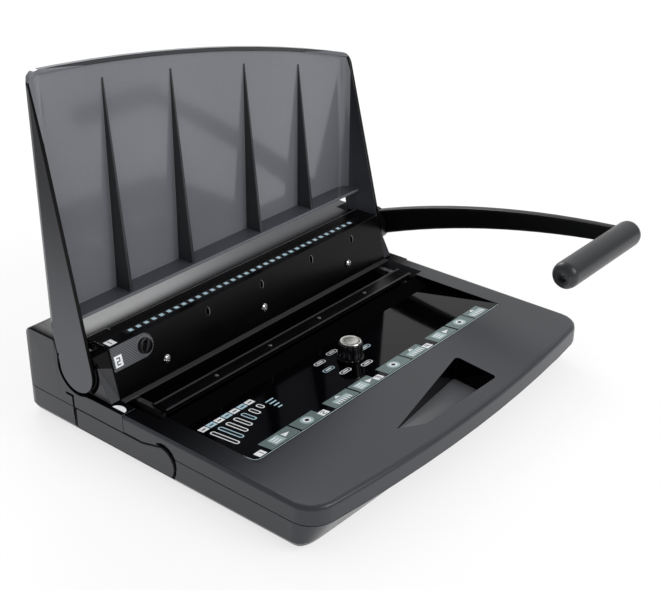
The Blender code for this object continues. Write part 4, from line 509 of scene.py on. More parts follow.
SKINS = {
    "base_pan": ("shell_grey", 0.35), "front_cover": ("shell_grey", 0.45),
    "rear_housing": ("shell_grey", 0.45), "end_cap_left": ("cap_grey", 0.4),
    "end_cap_right": ("cap_grey", 0.4), "chip_drawer": ("shell_grey", 0.3),
    "lid": ("lid_smoke", 0.5), "punch_cover": ("cover_black", 0.25), "closer_bed": ("tray_black", 0.2),
    "closer_plate": ("cover_black", 0.2), "closer_strip": ("cover_black", 0.2),
    "anvil_bar": ("cover_black", 0.2), "instruction_panel": ("tray_black", 0.2),
    "handle_arm": ("arm_black", 0.3), "handle_grip": ("grip_grey", 0.35), "guide_plate": ("plate_grey", 0.15),
}
skins = {node: dressed(node, finish, radius) for node, (finish, radius) in SKINS.items()}
print("faces of the skins:", {node: len(skin.data.polygons) for node, skin in skins.items()})

# %% [markdown]
# Some faces of a skin take a second finish. The tray and the pocket's walls take gloss black, the
# end caps black above a line and the punch cover a grey lip. The rest is painted light: painted shade
# on the lid's sides, ribs, ledge and arm edges, on walls deep in a gap, on the closer's front faces,
# on the label's rear slope and on tops that darken, and a painted highlight on the pocket's ramp.
# Faces are picked by their place and by the way they point.

# %% Second finishes on some skins
ARM_PIVOT, DRAWER_NOSE = (15, 63), (-79, 17.5)


def repaint(nodes, finish, chosen):
    """Give a second finish to the faces that a test picks by their place and normal.

    chosen takes the centres in machine millimetres and the unit normals, one row per axis.
    """
    for node in nodes.split():
        mesh = skins[node].data
        count = len(mesh.polygons)
        centres, normals = np.empty(count * 3), np.empty(count * 3)
        mesh.polygons.foreach_get("center", centres)
        mesh.polygons.foreach_get("normal", normals)
        picked = chosen((centres.reshape(-1, 3) - ROW).T * 1000, normals.reshape(-1, 3).T)
        index = np.empty(count, dtype=np.int32)
        mesh.polygons.foreach_get("material_index", index)
        mesh.materials.append(finishes[finish])
        index[picked] = len(mesh.materials) - 1
        mesh.polygons.foreach_set("material_index", index)
        print(skins[node].name, "has", int(picked.sum()), "faces in", finish)


def off_circle(c, centre, radius):
    """Distance of each face's centre from a circle on the machine's side."""
    return abs(np.hypot(c[1] - centre[0], c[2] - centre[1]) - radius)


def between(value, low, high):
    """True where a value lies inside a span."""
    return (value > low) & (value < high)


def in_pocket(c):
    """True where a face's centre lies in the finger pocket."""
    return between(c[0], -75, 62) & between(c[1], -225, -178) & (c[2] < 42.5)


# Painted shade on the lid: darker sides, ribs and ledge, and black free edges on its arms.
repaint("lid", "lid_painted_shade", lambda c, n: (abs(n[0]) > 0.9) & (abs(c[0]) > 180))
repaint("lid", "lid_rib_painted_shade", lambda c, n: (abs(c[0]) < 140) & (c[1] < 41.5) & (c[2] > 106))
repaint(
    "lid", "cover_black",
    lambda c, n: (abs(c[0]) > 180) & (abs(n[0]) < 0.5) & (n[1] < -0.6) & (c[1] < 41),
)
repaint(
    "lid", "lid_painted_shade",
    lambda c, n: (abs(c[0]) < 180) & (abs(n[2]) > 0.6) & between(c[2], 96, 108) & (c[1] < 46),
)
# Painted shade on the walls deep in the gaps round the lid's arms and the drawer's nose.
repaint(
    "rear_housing", "gap_shadow",
    lambda c, n: (abs(c[0]) > 168) & (abs(n[0]) < 0.5) & (off_circle(c, ARM_PIVOT, 21) < 1.2),
)
repaint(
    "base_pan front_cover", "gap_shadow",
    lambda c, n: (c[0] < -150) & (abs(n[0]) < 0.5) & (off_circle(c, DRAWER_NOSE, 15.5) < 2.2) & (c[2] > 7),
)
repaint("end_cap_left end_cap_right", "cover_black", lambda c, n: c[2] > CAP_LINE)
# Painted shade on the tops beside the tray and on the housing's top at its nose and left end.
repaint("front_cover rear_housing", "top_painted_shade", lambda c, n: (n[2] > 0.9) & between(c[2], 40, 43.6))
repaint("rear_housing", "band_painted_shade", lambda c, n: (n[2] > 0.3) & (c[2] > 79) & between(c[1], 18, 84))
# Painted shade on the closer's front faces and on the label's rear slope, in place of their reflections.
repaint("closer_bed closer_plate closer_strip", "gap_shadow", lambda c, n: n[1] < -0.8)
repaint("instruction_panel", "gap_shadow", lambda c, n: (n[1] < -0.3) & (n[2] > 0.5))
repaint("punch_cover", "lip_grey_and_highlight", lambda c, n: (c[1] < -20) & (c[2] < 43.5))
repaint(
    "front_cover", "tray_black",
    lambda c, n: (abs(c[0]) < 166) & between(c[1], -162, -60) & (c[2] < 42),
)
repaint("front_cover", "tray_black", lambda c, n: in_pocket(c) & (abs(n[2]) < 0.3))
# Painted highlight: a lighter tone of the shell plastic on the pocket's ramp.
repaint("front_cover", "ramp_painted_light", lambda c, n: in_pocket(c) & (n[2] > 0.5))

# %% [markdown]
# ## The inner pieces
#
# Dies, pins, racks and bearings are plain machined shapes, so the CAD solids stay and only
# take their finish.

# %% Finish the CAD nodes that stay
for node, solid in frame["nodes"].items():
    if node not in SKINS:
        solid.data.materials.clear()
        solid.data.materials.append(finishes[SLOT_FINISH[slot_of[node]]])
print("painted", len(frame["nodes"]) - len(SKINS), "CAD nodes")

# %% [markdown]
# ## Drawing with grids
#
# Every new piece below is a surface of two parameters: rows and columns of points worked out
# in one go. The helper turns such a grid into quads, joins the seam where the grid closes on
# itself and points the faces outwards.

# %% From a grid of points to a piece
POINT_WELD, SMOOTH_TURN = 0.000002, math.radians(34)


def grid_faces(rows, columns):
    """Quads between neighbouring points of a grid, as index rows."""
    index = np.arange(rows * columns).reshape(rows, columns)
    corners = (index[:-1, :-1], index[:-1, 1:], index[1:, 1:], index[1:, :-1])
    return np.stack(corners, -1).reshape(-1, 4)


def make_piece(name, points, faces, finish, body, replaces=(), smooth=True):
    """Mesh piece from points in machine millimetres and a list of faces, welded and facing out."""
    mesh = bpy.data.meshes.new(name)
    mesh.from_pydata(to_frame(points).tolist(), [], [list(map(int, face)) for face in faces])
    work = bmesh.new()
    work.from_mesh(mesh)
    bmesh.ops.remove_doubles(work, verts=work.verts, dist=POINT_WELD)
    bmesh.ops.dissolve_degenerate(work, edges=work.edges, dist=POINT_WELD)
    bmesh.ops.recalc_face_normals(work, faces=work.faces)
    work.to_mesh(mesh)
    work.free()
    mesh.materials.append(finishes[finish])
    if smooth:
        mesh.shade_smooth()
        mesh.set_sharp_from_angle(angle=SMOOTH_TURN)
    piece = link_object(name, mesh)
    if replaces:
        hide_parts(*replaces)
    attach(piece, body)


def grid_piece(name, grid, finish, body, replaces=()):
    """Piece from a grid of points in machine millimetres."""
    make_piece(name, grid.reshape(-1, 3), grid_faces(*grid.shape[:2]), finish, body, replaces)


def revolve(profile, count, wave=None):
    """Grid of a turned shape: each (radius, height) row is carried round the Z axis.

    wave is an optional function of angle and row share that scales the radius.
    """
    radius, height = np.asarray(profile, float).T
    turn = np.linspace(0, 2 * np.pi, count + 1)
    reach, tall = (np.outer(column, np.ones(count + 1)) for column in (radius, height))
    if wave is not None:
        reach = reach * wave(turn[None, :], np.linspace(0, 1, len(radius))[:, None])
    return np.stack([reach * np.cos(turn), reach * np.sin(turn), tall], -1)


def set_on(points, centre, across, up):
    """Move local points to a seat: local X runs along across, local Z along up."""
    basis = np.stack([across, np.cross(up, across), up])
    return points @ basis + centre


print("grid helpers ready; points weld within", POINT_WELD * 1000, "mm")

# %% [markdown]
# ## The leaning face of the punch cover
#
# Screws, the guide knob and its plate sit on the cover's front face, which leans back. Its
# foot and crown give a seat for anything mounted on it.

# %% The seat on the leaning face
CROWN_Y, CROWN_Z = -9.0, node_span("punch_cover")[1][2]
FOOT_Y, FOOT_Z = -19.5, 43.0
LEAN = math.atan2(CROWN_Y - FOOT_Y, CROWN_Z - FOOT_Z)
FACE_OUT = np.array([0.0, -math.cos(LEAN), math.sin(LEAN)])
ALONG_X, UPWARD = np.array([1.0, 0.0, 0.0]), np.array([0.0, 0.0, 1.0])


def face_seat(x, drop):
    """Point on the leaning face, a given drop below the cover's top."""
    return np.array([x, CROWN_Y + (FOOT_Y - CROWN_Y) * drop / (CROWN_Z - FOOT_Z), CROWN_Z - drop])


GUIDE_SEAT = face_seat(-138.0, 10.5)
print("the face leans", round(math.degrees(LEAN), 2), "degrees")

# %% [markdown]
# ## Screws
#
# A pan head is a low dome with a cross pressed into it. The dome is a polar grid, and the
# cross is a dip in its height wherever a point lies near either arm of the cross.

# %% Pan head screws
def screw_grid(radius, rise, rings=14, count=48):
    """Polar grid: height is a flattened dome minus a cross-shaped dip, closed by a flat seat."""
    share = np.linspace(0, 1, rings)[:, None]
    turn = np.linspace(0, 2 * np.pi, count + 1)[None, :]
    x, y = radius * share * np.cos(turn), radius * share * np.sin(turn)
    dome = rise * (1 - share ** 2.6 * 0.62) * np.ones_like(turn)
    arm, reach = radius * 0.16, radius * 0.62
    near, far = np.minimum(abs(x), abs(y)), np.maximum(abs(x), abs(y))
    dip = np.clip((arm - near) / (arm * 0.6), 0, 1) * np.clip((reach - far) / (reach * 0.25), 0, 1)
    top = np.stack([x, y, dome - dip * rise * 0.55], -1)
    rim = np.stack([x[-1], y[-1], np.zeros(count + 1)], -1)[None]
    return np.concatenate([top, rim, np.zeros((1, count + 1, 3))])


def add_screw(name, radius, rise, seat, up, body, replaces, spin, finish="screw_chrome"):
    """Screw head set on a seat and turned to its own angle."""
    across = ALONG_X * math.cos(spin) + np.cross(up, ALONG_X) * math.sin(spin)
    grid = set_on(screw_grid(radius, rise), seat, across, up)
    grid_piece(name, grid, finish, body, replaces)


for index, (name, x) in enumerate((("left", -118), ("middle", 0), ("right", 118))):
    seat = face_seat(x, 30.0) + FACE_OUT * 0.3
    spin = 0.3 + 0.5 * index
    add_screw("screw_head_" + name, 3.6, 2.1, seat, FACE_OUT, "base", ["cover_screw_" + name], spin)
for index in range(4):
    low, high = node_span(f"closer_screw_{index + 1}")
    seat = (*(low + high)[:2] / 2, high[2] - 0.9)
    add_screw(
        f"strip_screw_head_{index + 1}", 1.9, 0.9, seat, UPWARD, "closer", [f"closer_screw_{index + 1}"],
        0.2 + 0.6 * index, "screw_dark",
    )
print("screw heads: 7")

# %% [markdown]
# ## The size knob
#
# The knob that sets the wire size is a fluted skirt under a bright turned cap. Its radius is
# a wave round the circle: broad lands with narrow grooves between them.

# %% Fluted skirt and turned cap
knob_low, knob_high = node_span("size_knob")
cap_base = node_span("size_knob_cap")[0][2]
FLUTES = 14


def flute_wave(turn, share):
    """Radius factor: one on the lands, less in the grooves, fading out at top and bottom."""
    groove = np.clip(np.cos(turn * FLUTES) * 2.2 - 1.0, 0, 1)
    ends = np.clip(share * 6 - 0.9, 0, 1) * np.clip((1 - share) * 6 - 0.6, 0, 1)
    return 1 - 0.085 * groove * ends


height = knob_high[2] - knob_low[2]
skirt = [
    (0, 0), (11.0, 0), (11.7, 0.35), (11.7, 1.1), (11.1, 1.6), (11.05, 3.0), (10.95, 6.0), (10.8, 9.0),
    (10.7, height - 2.0), (10.5, height - 0.9), (10.1, height - 0.25), (9.5, height), (0, height),
]
grid = revolve(skirt, FLUTES * 12, flute_wave) + (*KNOB_CENTRE[:2], knob_low[2])
grid_piece("fluted_skirt", grid, "knob_black", "size_dial", ["size_knob"])
dome = [
    (0, -0.25), (9.3, -0.25), (9.3, 0.55), (9.0, 0.95), (8.4, 1.15), (8.0, 1.0), (6.0, 1.12), (3.0, 1.22),
    (0, 1.25),
]
grid = revolve(dome, 96) + (*KNOB_CENTRE[:2], cap_base)
grid_piece("turned_cap", grid, "cap_silver", "size_dial", ["size_knob_cap"])
print("knob", round(height, 2), "mm high with", FLUTES, "flutes")

# %% [markdown]
# ## The side guide's knob
#
# A flat black knob with a knurled rim and a raised finger bar across it. It is a polar grid
# whose height rises where a point is close to the bar.

# %% Knurled guide knob
def guide_knob_grid(radius, rise, count=144):
    """Polar grid: knurled wall, flat top with a shallow well and a bar across the well."""
    wall = [(0, 0), (1, 0), (1, 0.55), (0.97, 0.75), (0.88, 0.8)]
    turn = np.linspace(0, 2 * np.pi, count + 1)
    knurl = 1 - 0.03 * np.clip(np.cos(turn * 24) * 2, 0, 1)
    rows = []
    for out, tall in wall:
        reach = radius * out * knurl
        rows.append(np.stack([reach * np.cos(turn), reach * np.sin(turn), rise * tall + turn * 0], -1))
    for share in np.linspace(0.82, 0, 14):
        x, y = radius * share * np.cos(turn), radius * share * np.sin(turn)
        bar = np.clip((radius * 0.24 - np.abs(y)) / (radius * 0.08), 0, 1)
        well = np.clip((0.82 - share) * 12, 0, 1)
        rows.append(np.stack([x, y, rise * (0.8 - 0.35 * well * (1 - bar) + 0.2 * bar * well)], -1))
    return np.stack(rows)


turned_way = ALONG_X * 0.5 + np.cross(FACE_OUT, ALONG_X) * 0.866
grid = set_on(guide_knob_grid(6.5, 4.5), GUIDE_SEAT + FACE_OUT * 1.5, turned_way, FACE_OUT)
grid_piece("knurled_knob", grid, "knob_black", "guide_dial", ["guide_knob"])
print("guide knob points:", grid.size // 3)

# %% [markdown]
# ## Printed marks
#
# Ink has almost no height, but a printed mark still needs its own clean outline. Each mark is
# a slab a few hundredths of a millimetre thick, cut from an outline and laid on a face by a
# function that knows where that face is.

# %% Outlines for printing
def box_outline(x0, y0, x1, y1):
    """Four corners of an upright rectangle."""
    return np.array([(x0, y0), (x1, y0), (x1, y1), (x0, y1)], float)


def round_outline(x, y, radius, count=20):
    """Points evenly spaced on a circle."""
    turn = np.arange(count) * 2 * np.pi / count
    return np.stack([x + radius * np.cos(turn), y + radius * np.sin(turn)], -1)


def pill_outline(x, y, length, width, count=8):
    """Two half circles joined by straight sides."""
    half = (length - width) / 2
    turn = np.linspace(-np.pi / 2, np.pi / 2, count)
    right = np.stack([x + half + width / 2 * np.cos(turn), y + width / 2 * np.sin(turn)], -1)
    left = np.stack([x - half - width / 2 * np.cos(turn), y - width / 2 * np.sin(turn)], -1)
    return np.concatenate([right, left])


def print_marks(name, outlines, seat, finish, body="base", thick=0.06):
    """Slabs from outlines: each outline is laid on the seat twice, low and high, and walled in."""
    points, faces, start = [], [], 0
    for outline in outlines:
        count = len(outline)
        points += [seat(outline, 0.0), seat(outline, thick)]
        ring = np.arange(count)
        after = np.roll(ring, -1)
        walls = np.stack([ring, after, after + count, ring + count], -1) + start
        faces += [start + ring[::-1], start + count + ring, *walls]
        start += 2 * count
    make_piece(name, np.concatenate(points), faces, finish, body, smooth=False)


def print_gap(name, outlines, seat):
    """Painted shadow in a gap between two shells."""
    print_marks(name, outlines, seat, "gap_shadow", thick=0.03)


def top_seat(height):
    """Seat on a level face: outline coordinates are the machine's X and Y."""
    return lambda outline, lift: np.column_stack([outline, np.full(len(outline), height + lift)])


print("outlines: box, circle, pill")

# %% The row of hole marks on the cover
PITCH = 25.4 / 3
hole_x = (np.arange(34) - 16.5) * PITCH
marks = [box_outline(x - 2.0, -1.9, x + 2.0, 1.9) for x in hole_x]
on_cover = top_seat(CROWN_Z)
strip = [box_outline(-146, -3.6, 146, 3.6)]
print_marks("hole_mark_strip", strip, on_cover, "ink_black", thick=0.04)
print_marks("hole_marks", marks, on_cover, "ink_blue", thick=0.08)
print("marks:", len(marks), "at", round(PITCH, 4), "mm")

# %% [markdown]
# ## The tray's label
#
# The label lies in the sunk tray, level with the rim at the front and falling to a valley
# towards the knob. Its art here is a plain design: bars, discs and arrows in pale blue,
# white and sage, with numbered steps.

# %% A seat that follows the sloping panel
PANEL_FRONT, PANEL_VALLEY = -158.7, -78.0
RIM_Z, VALLEY_Z = 43.0, 35.0


def panel_seat(outline, lift):
    """Outline coordinates are X and Y; the height falls evenly from the front edge to the valley."""
    share = (outline[:, 1] - PANEL_FRONT) / (PANEL_VALLEY - PANEL_FRONT)
    return np.column_stack([outline, RIM_Z + (VALLEY_Z - RIM_Z) * share + lift])


SEGMENTS = {
    "top": (0.0, 0.86, 0.6, 1.0), "middle": (0.0, 0.43, 0.6, 0.57), "bottom": (0.0, 0.0, 0.6, 0.14),
    "upper left": (0.0, 0.5, 0.14, 1.0), "upper right": (0.46, 0.5, 0.6, 1.0),
    "lower left": (0.0, 0.0, 0.14, 0.5), "lower right": (0.46, 0.0, 0.6, 0.5),
}
DIGITS = {
    1: ("upper right", "lower right"),
    2: ("top", "upper right", "middle", "lower left", "bottom"),
    3: ("top", "upper right", "middle", "lower right", "bottom"),
    4: ("upper left", "upper right", "middle", "lower right"),
}


def digit_outlines(digit, x, y, size):
    """Bars of a seven-bar numeral whose lower left corner is at x, y."""
    return [box_outline(*SEGMENTS[part]) * size + (x, y) for part in DIGITS[digit]]


print("panel seat from", PANEL_FRONT, "to", PANEL_VALLEY, "mm; numerals:", len(DIGITS))


# %% Pills round the knob
pills = [(4, -91), (-17, -95), (-22, -109), (-17, -123), (4, -129), (27, -109)]
white, blue, dark = [], [], []
for index, (x, y) in enumerate(pills):
    (blue if index % 3 == 2 else white).append(pill_outline(x, y, 13.0, 5.4))
    dark.append(pill_outline(x, y, 11.4, 3.9))
print_marks("pills_white", white, panel_seat, "ink_white")
print_marks("pills_blue", blue, panel_seat, "ink_blue")
print_marks("pill_centres", dark, panel_seat, "ink_black", thick=0.09)
bars = [pill_outline(x, y, 7.0, 1.5) for x, y in pills]
print_marks("pill_bars", bars, panel_seat, "ink_white", thick=0.12)
print("pills:", len(pills))

# %% The chart of wire sizes
UPRIGHT = np.array([(0, 1), (-1, 0)])
chart_white, chart_blue, chart_dark = [], [], []
for column in range(7):
    x = -156.0 + column * 8.6
    cell = box_outline(x, -95.0, x + 7.4, -88.5)
    (chart_blue if column % 2 else chart_white).append(cell)
    chart_dark.append(box_outline(x + 1.6, -92.6, x + 5.8, -91.2))
    tall = 30.0 - column * 3.6
    centre = (x + 3.7, -99.5 - tall / 2)
    (chart_blue if column % 3 == 1 else chart_white).append(pill_outline(0, 0, tall, 4.6) @ UPRIGHT + centre)
    chart_dark.append(pill_outline(0, 0, tall - 2.2, 2.6) @ UPRIGHT + centre)
for row in range(4):
    chart_blue.append(box_outline(-94.0, -104.0 - row * 4.6, -94.0 + 9 - row * 1.5, -102.4 - row * 4.6))
print_marks("chart_white", chart_white, panel_seat, "ink_white")
print_marks("chart_blue", chart_blue, panel_seat, "ink_blue")
print_marks("chart_dark", chart_dark, panel_seat, "ink_black", thick=0.09)
print("chart marks:", len(chart_white) + len(chart_blue) + len(chart_dark))

# %% The strip of steps along the front
sage, mist, pale, black = [], [], [], []
TILE_FRONT, TILE_MIDDLE, TILE_REAR = -157.0, -149.7, -142.5
tiles = [
    (-146, -113), (-111, -84), (-71, -41), (-39, -14), (-2, 29), (31, 55), (68, 97), (99, 124), (126, 148),
]
tags = [(-155.5, 1), (-82.5, 2), (-12.5, 3), (56.5, 4)]
for index, (left, right) in enumerate(tiles):
    sage.append(box_outline(left, TILE_FRONT, right, TILE_REAR))
    middle = (left + right) / 2
    if index % 3 == 0:
        mist.append(box_outline(middle - 9, -155, middle + 2, -145))
        rows = -153 + 2.8 * np.arange(3)
        pale += [box_outline(middle - 7.6, y, middle - 1, y + 1) for y in rows]
        pale.append(np.array([(middle + 4, -152.5), (middle + 11, TILE_MIDDLE), (middle + 4, -147)]))
    elif index % 3 == 1:
        for marks, radius in ((mist, 5.6), (pale, 3.4), (black, 1.9)):
            marks.append(round_outline(middle, TILE_MIDDLE, radius))
    else:
        mist.append(box_outline(middle - 9, -152.2, middle + 9, -147.6))
        columns = middle - 8 + 3 * np.arange(6)
        pale += [box_outline(x, -155, x + 1.4, -151) for x in columns]
        pale.append(np.array([(middle - 3, -146.6), (middle, -143.4), (middle + 3, -146.6)]))
for x, digit in tags:
    pale.append(box_outline(x - 3, -156.5, x + 5, -149.5))
    black += digit_outlines(digit, x - 0.6, -155.7, 5.2)
print_marks("step_tiles", sage, panel_seat, "ink_sage")
print_marks("step_shades", mist, panel_seat, "mist_ink_and_highlight", thick=0.09)
print_marks("step_motifs", pale, panel_seat, "ink_white", thick=0.12)
print_marks("step_inks", black, panel_seat, "ink_black", thick=0.15)
print("tiles:", len(tiles))

# %% Numbered tags beside the side guide
PLATE_LIFT = 1.3


def leaning_seat(raised):
    """Seat on or over the cover's face: outline X is the machine's X, outline Y the drop, negative down."""
    return lambda outline, lift: np.array([face_seat(x, -y) for x, y in outline]) + FACE_OUT * (raised + lift)


for name, digit, tag, spot, seat, slot in (
    ("two", 2, (-169.3, -17.5, -161.5, -8.2), (-167.3, -16.0), leaning_seat(PLATE_LIFT), "grey_plate"),
    ("one", 1, (-168.5, -7.5, -160.5, 0.5), (-168.0, -6.4), on_cover, "painted_steel"),
):
    print_marks("tag_" + name, [box_outline(*tag)], seat, "ink_white")
    print_marks("numeral_" + name, digit_outlines(digit, *spot, 6.0), seat, "ink_black", thick=0.1)
print("tags: 2")

# %% [markdown]
# ## Lines and gaps
#
# Thin lines finish the drawing: painted shadow where two mouldings leave a gap, painted highlight
# where a sheet's cut edge or a rim catches the light. A line is a stroke along a path, as wide as
# asked for at each of its points.

# %% A stroke along a path
def stroke_outline(path, widths):
    """Closed outline of a path thickened to a width at each point, along the path's normals."""
    path = np.asarray(path, float)
    way = np.gradient(path, axis=0)
    way /= np.linalg.norm(way, axis=1)[:, None]
    side = np.stack([-way[:, 1], way[:, 0]], -1) * np.broadcast_to(widths, len(path))[:, None] / 2
    return np.concatenate([path + side, (path - side)[::-1]])


def arc_path(centre, radius, start, end, count=24):
    """Points on a circle between two angles in degrees."""
    turn = np.radians(np.linspace(start, end, count))
    return np.stack([centre[0] + radius * np.cos(turn), centre[1] + radius * np.sin(turn)], -1)


def side_seat(x):
    """Seat on an upright side face: outline coordinates are Y and Z, and ink grows outwards."""
    outward = 1 if x > 0 else -1
    return lambda outline, lift: np.column_stack([np.full(len(outline), x + outward * lift), outline])


def quad_strip(outline):
    """A stroke's outline cut into four-sided pieces, so that every piece is flat and convex."""
    half = len(outline) // 2
    left, right = outline[:half], outline[half:][::-1]
    return [np.array([right[i], right[i + 1], left[i + 1], left[i]]) for i in range(half - 1)]


# %% Painted shadows in the gaps round the lid's arms and the drawer's nose
SIDE_X, CAP_X = 186.0, 181.5
for side, name in ((-1, "left"), (1, "right")):
    ring = quad_strip(stroke_outline(arc_path(ARM_PIVOT, 21.7, -114, 24, 30), 1.5))
    print_gap("arm_gap_shadow_" + name, ring, side_seat(side * SIDE_X))
    inner = quad_strip(stroke_outline(arc_path(ARM_PIVOT, 21.2, 152, 236, 20), np.linspace(2.6, 3.4, 20)))
    print_gap("cap_gap_shadow_" + name, inner, side_seat(side * CAP_X))
inner_edge = [
    (-95.0, 17.7), (-94.4, 21.5), (-92.9, 25.0), (-90.6, 28.0), (-87.6, 30.4), (-84.2, 32.1), (-80.5, 32.8),
    (-74.5, 32.3),
]
outer_edge = [
    (-95.8, 17.9), (-95.6, 22.4), (-94.5, 27.4), (-92.0, 31.4), (-88.2, 34.3), (-84.0, 35.7), (-79.6, 35.9),
    (-74.3, 33.6),
]
nose = quad_strip(np.concatenate([outer_edge, inner_edge[::-1]]))
hook = [(30.3, 37.2), (25.0, 37.3), (22.4, 36.7), (21.9, 34.0), (21.9, 26.0), (21.5, 9.5)]
hook = quad_strip(stroke_outline(hook, (1.9, 2.2, 2.4, 2.0, 1.6, 1.0)))
print_gap("drawer_gap_shadow", nose + hook, side_seat(-SIDE_X))


def rim_seat(outline, lift):
    """Seat on the low rim beside the lid's arm: level, then falling six parts in a hundred."""
    return np.column_stack([outline, 43.0 - np.clip(outline[:, 1] + 2.0, 0, 15) * 0.06 + lift])


gap = [box_outline(-185.2, -21.5, -181.2, -2.0), box_outline(-185.2, -2.0, -181.2, 6.0)]
print_gap("rim_gap_shadow_left", gap, rim_seat)
tag = arc_path((0, 0), 1, -90, 90, 20) * (5.4, 7.0) + (-182.2, -28.6)
print_marks("rim_tag", [tag], rim_seat, "ink_white")
print("gap strokes:", len(ring) + len(inner) + len(nose) + len(hook))

# %% Painted highlights on the edges of the cover, closer and label
lines = [box_outline(-171.2, 16.9, -150.0, 17.6), box_outline(-150.4, 12.6, -149.8, 17.0)]
lines.append(box_outline(-150.0, 15.9, 171.0, 16.3))
lines += [box_outline(-171.3, y, -170.6, y + 1.6) for y in (-3.0, -0.4, 2.6, 6.2)]
print_marks("cover_edge_highlight", lines, on_cover, "pale_grey_and_highlight", thick=0.04)
strip_low, strip_high = node_span("closer_strip")
stripes = [box_outline(-160, y, 160, y + 2.2) for y in (strip_low[1] + 0.1, strip_high[1] - 2.3)]
on_strip = top_seat(strip_high[2])
print_marks("closer_edge_highlights", stripes, on_strip, "lip_grey_and_highlight", body="closer", thick=0.04)
print("closer strip", np.round(strip_low, 1), np.round(strip_high, 1))
label_low, label_high = node_span("instruction_panel")
left, front = label_low[0] + 0.6, PANEL_FRONT + 0.5
BEND = 5.5
corner = arc_path((left + BEND, front + BEND), BEND, 270, 180, 12)
border = np.concatenate([[(label_high[0] - 0.6, front)], corner, [(left, -96.0)]])
border = np.concatenate([border, arc_path((left + 9, -96.0), 9, 180, 110, 8)[1:]])
print_marks("label_edge_highlight", quad_strip(stroke_outline(border, 0.7)), panel_seat, "mist_ink_and_highlight", thick=0.03)
rim = arc_path((left + BEND, front + BEND), BEND + 0.3, 270, 180, 12)
fill = [np.array([(label_low[0], PANEL_FRONT), rim[i], rim[i + 1]]) for i in range(11)]
print_marks("label_corner", fill, panel_seat, "shell_grey", thick=0.05)
print("light edges:", len(lines) + len(stripes))

# %% Louvres and the ring round the side guide's knob
# Painted highlights round each louvre: a bright glint on one side, a dimmer edge on the other.
glints, dim_edges = [], []
for x in (-64.0, 2.9, 70.1, 128.9):
    bright = arc_path((x - 1.8, -9.6), 4.2, -62, 64, 14) * (0.9, 1.0) + (x * 0.1, 0)
    glints += quad_strip(stroke_outline(bright, 0.3 + 0.4 * np.sin(np.linspace(0, 3.1, 14))))
    dim_edges += quad_strip(stroke_outline(arc_path((x + 2.2, -10.0), 4.6, 128, 226, 12), 0.4))
print_marks("louvre_glints", glints, leaning_seat(0.0), "pale_grey_and_highlight", thick=0.12)
print_marks("louvre_dim_edges", dim_edges, leaning_seat(0.0), "lip_grey_and_highlight", thick=0.10)
ring = revolve([(7.2, 0), (7.2, 0.25), (8.1, 0.25), (8.1, 0), (7.2, 0)], 64)
ring = set_on(ring, GUIDE_SEAT + FACE_OUT * PLATE_LIFT, ALONG_X, FACE_OUT)
grid_piece("knob_ring", ring, "pale_grey_and_highlight", "base")
print("louvre strokes:", len(glints) + len(dim_edges))

# %% [markdown]
# ## Feet
#
# The rubber feet are turned discs with a soft edge and two rings pressed into the tread.

# %% Turned rubber feet
tread = [
    (0, 0.0), (3.4, 0.0), (3.8, 0.5), (4.6, 0.5), (5.0, 0.0), (7.2, 0.0), (7.6, 0.5), (8.4, 0.5), (8.8, 0.0),
    (9.9, 0.0), (10.7, 0.4), (11.0, 1.2), (11.0, 3.7), (3.0, 3.7), (3.0, 6.4), (0, 6.4),
]
for name in ("front_left", "front_right", "rear_left", "rear_right"):
    low, high = node_span("foot_" + name)
    grid = revolve(tread, 48) + (*(low + high)[:2] / 2, 0)
    grid_piece("tread_" + name, grid, "foot_rubber", "base", ["foot_" + name])
print("feet: 4")

# %% [markdown]
# ## Floor, light and camera
#
# A pale floor and a plain white room show the machine as it is. Camera and glass rays see a
# white room, mirror rays a room that is bright towards one side and dark elsewhere, while the
# light that falls on the object is a little weaker. Two large soft lamps model the forms.

# %% Floor and room
FLOOR_GLOW = 0.72
ROOM_LIGHT, DARK_SIDE, BRIGHT_SIDE = 0.86, 0.08, 0.82
BRIGHT_WAY = (0.75, 0.60, 0.28)


def seen_ray(tree, *kinds):
    """One where a ray is of one of the kinds, otherwise zero."""
    rays = [add_node(tree, "LightPath").outputs[f"Is {kind} Ray"] for kind in kinds]
    for other in rays[1:]:
        rays[0] = arithmetic(tree, "MAXIMUM", rays[0], other)
    return rays[0]


def pick_by_ray(tree, ray, otherwise, value):
    """One value for rays of a kind, another for the rest: otherwise + ray * (value - otherwise)."""
    change = arithmetic(tree, "MULTIPLY", arithmetic(tree, "SUBTRACT", value, otherwise), ray)
    return arithmetic(tree, "ADD", change, otherwise)


tree, shader = start_finish("floor_pale")
feed(tree, shader, Base_Color=(0.86, 0.86, 0.86, 1), Roughness=0.9, Specular_IOR_Level=0.1)
share = arithmetic(tree, "MULTIPLY", seen_ray(tree, "Camera", "Glossy", "Transmission"), FLOOR_GLOW)
mixed = add_node(tree, "MixShader", Fac=share)
tree.links.new(shader.outputs["BSDF"], mixed.inputs[1])
tree.links.new(add_node(tree, "Emission").outputs["Emission"], mixed.inputs[2])
feed(tree, tree.nodes["Material Output"], Surface=mixed.outputs["Shader"])
mesh = bpy.data.meshes.new("floor")
mesh.from_pydata([(-6, -6, 0), (6, -6, 0), (6, 6, 0), (-6, 6, 0)], [], [(0, 1, 2, 3)])
mesh.materials.append(finishes["floor_pale"])
floor = link_object("floor", mesh)
world = bpy.data.worlds.new("white_room")
world.use_nodes = True
tree = world.node_tree
looking = add_node(tree, "TexCoord").outputs["Generated"]
facing = vector_math(tree, "DOT_PRODUCT", looking, BRIGHT_WAY, "Value")
mirrored = spread(tree, facing, DARK_SIDE, BRIGHT_SIDE, 0.25, 0.85)
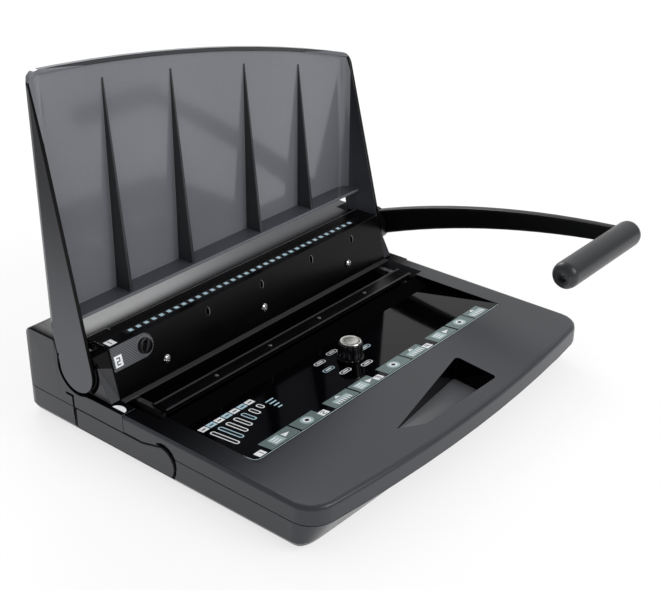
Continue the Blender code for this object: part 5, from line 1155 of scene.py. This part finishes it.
strength = pick_by_ray(tree, seen_ray(tree, "Glossy"), ROOM_LIGHT, mirrored)
strength = pick_by_ray(tree, seen_ray(tree, "Camera", "Transmission"), strength, 1.0)
feed(tree, tree.nodes["Background"], Color=(1, 1, 1, 1), Strength=strength)
bpy.context.scene.world = world
print("room light", ROOM_LIGHT, "mirrored from", DARK_SIDE, "to", BRIGHT_SIDE)

# %% Soft lamps
def add_lamp(name, place, aim, size, power):
    """Square area lamp that faces a point."""
    light = bpy.data.lights.new(name, "AREA")
    light.size = size
    light.energy = power
    lamp = link_object(name, light)
    lamp.location = place
    lamp.rotation_euler = (Vector(aim) - Vector(place)).to_track_quat("-Z", "Y").to_euler()
    print(name, power, "W")


add_lamp("key_lamp", (0.5, -1.9, 1.5), (0, 0, 0.1), 1.2, 24.0)
add_lamp("back_lamp", (0.75, 1.5, 1.3), (0, 0, 0.1), 0.9, 14.0)

# %% [markdown]
# The camera stands where the hole marks and the body's straight edges line up with the
# photograph: 1233 pixels of focal length on a frame 660 pixels wide, with a slight roll.

# %% Camera
AZIMUTH, ELEVATION, ROLL = (math.radians(angle) for angle in (-51.202, 27.002, 0.765))
FOCAL_PIXELS, FRAME_PIXELS = 1233.0, 660.0
STAND = (-709.04, -673.11, 563.30)
level = math.cos(ELEVATION)
back = Vector((math.sin(AZIMUTH) * level, -math.cos(AZIMUTH) * level, math.sin(ELEVATION)))
side = Vector((0, 0, 1)).cross(back).normalized()
rise = back.cross(side)
right = side * math.cos(ROLL) + rise * math.sin(ROLL)
upward = rise * math.cos(ROLL) - side * math.sin(ROLL)
lens = bpy.data.cameras.new("camera")
lens.sensor_width = 36.0
lens.lens = FOCAL_PIXELS / FRAME_PIXELS * lens.sensor_width
lens.shift_x, lens.shift_y = -0.0162, -0.0040
camera = link_object("camera", lens)
turn = Matrix((right, upward, back)).transposed().to_4x4()
camera.matrix_world = Matrix.Translation(to_frame(STAND)) @ turn
bpy.context.scene.camera = camera
bpy.context.scene.view_settings.view_transform = "Standard"
print("camera", round(lens.lens, 2), "mm lens")
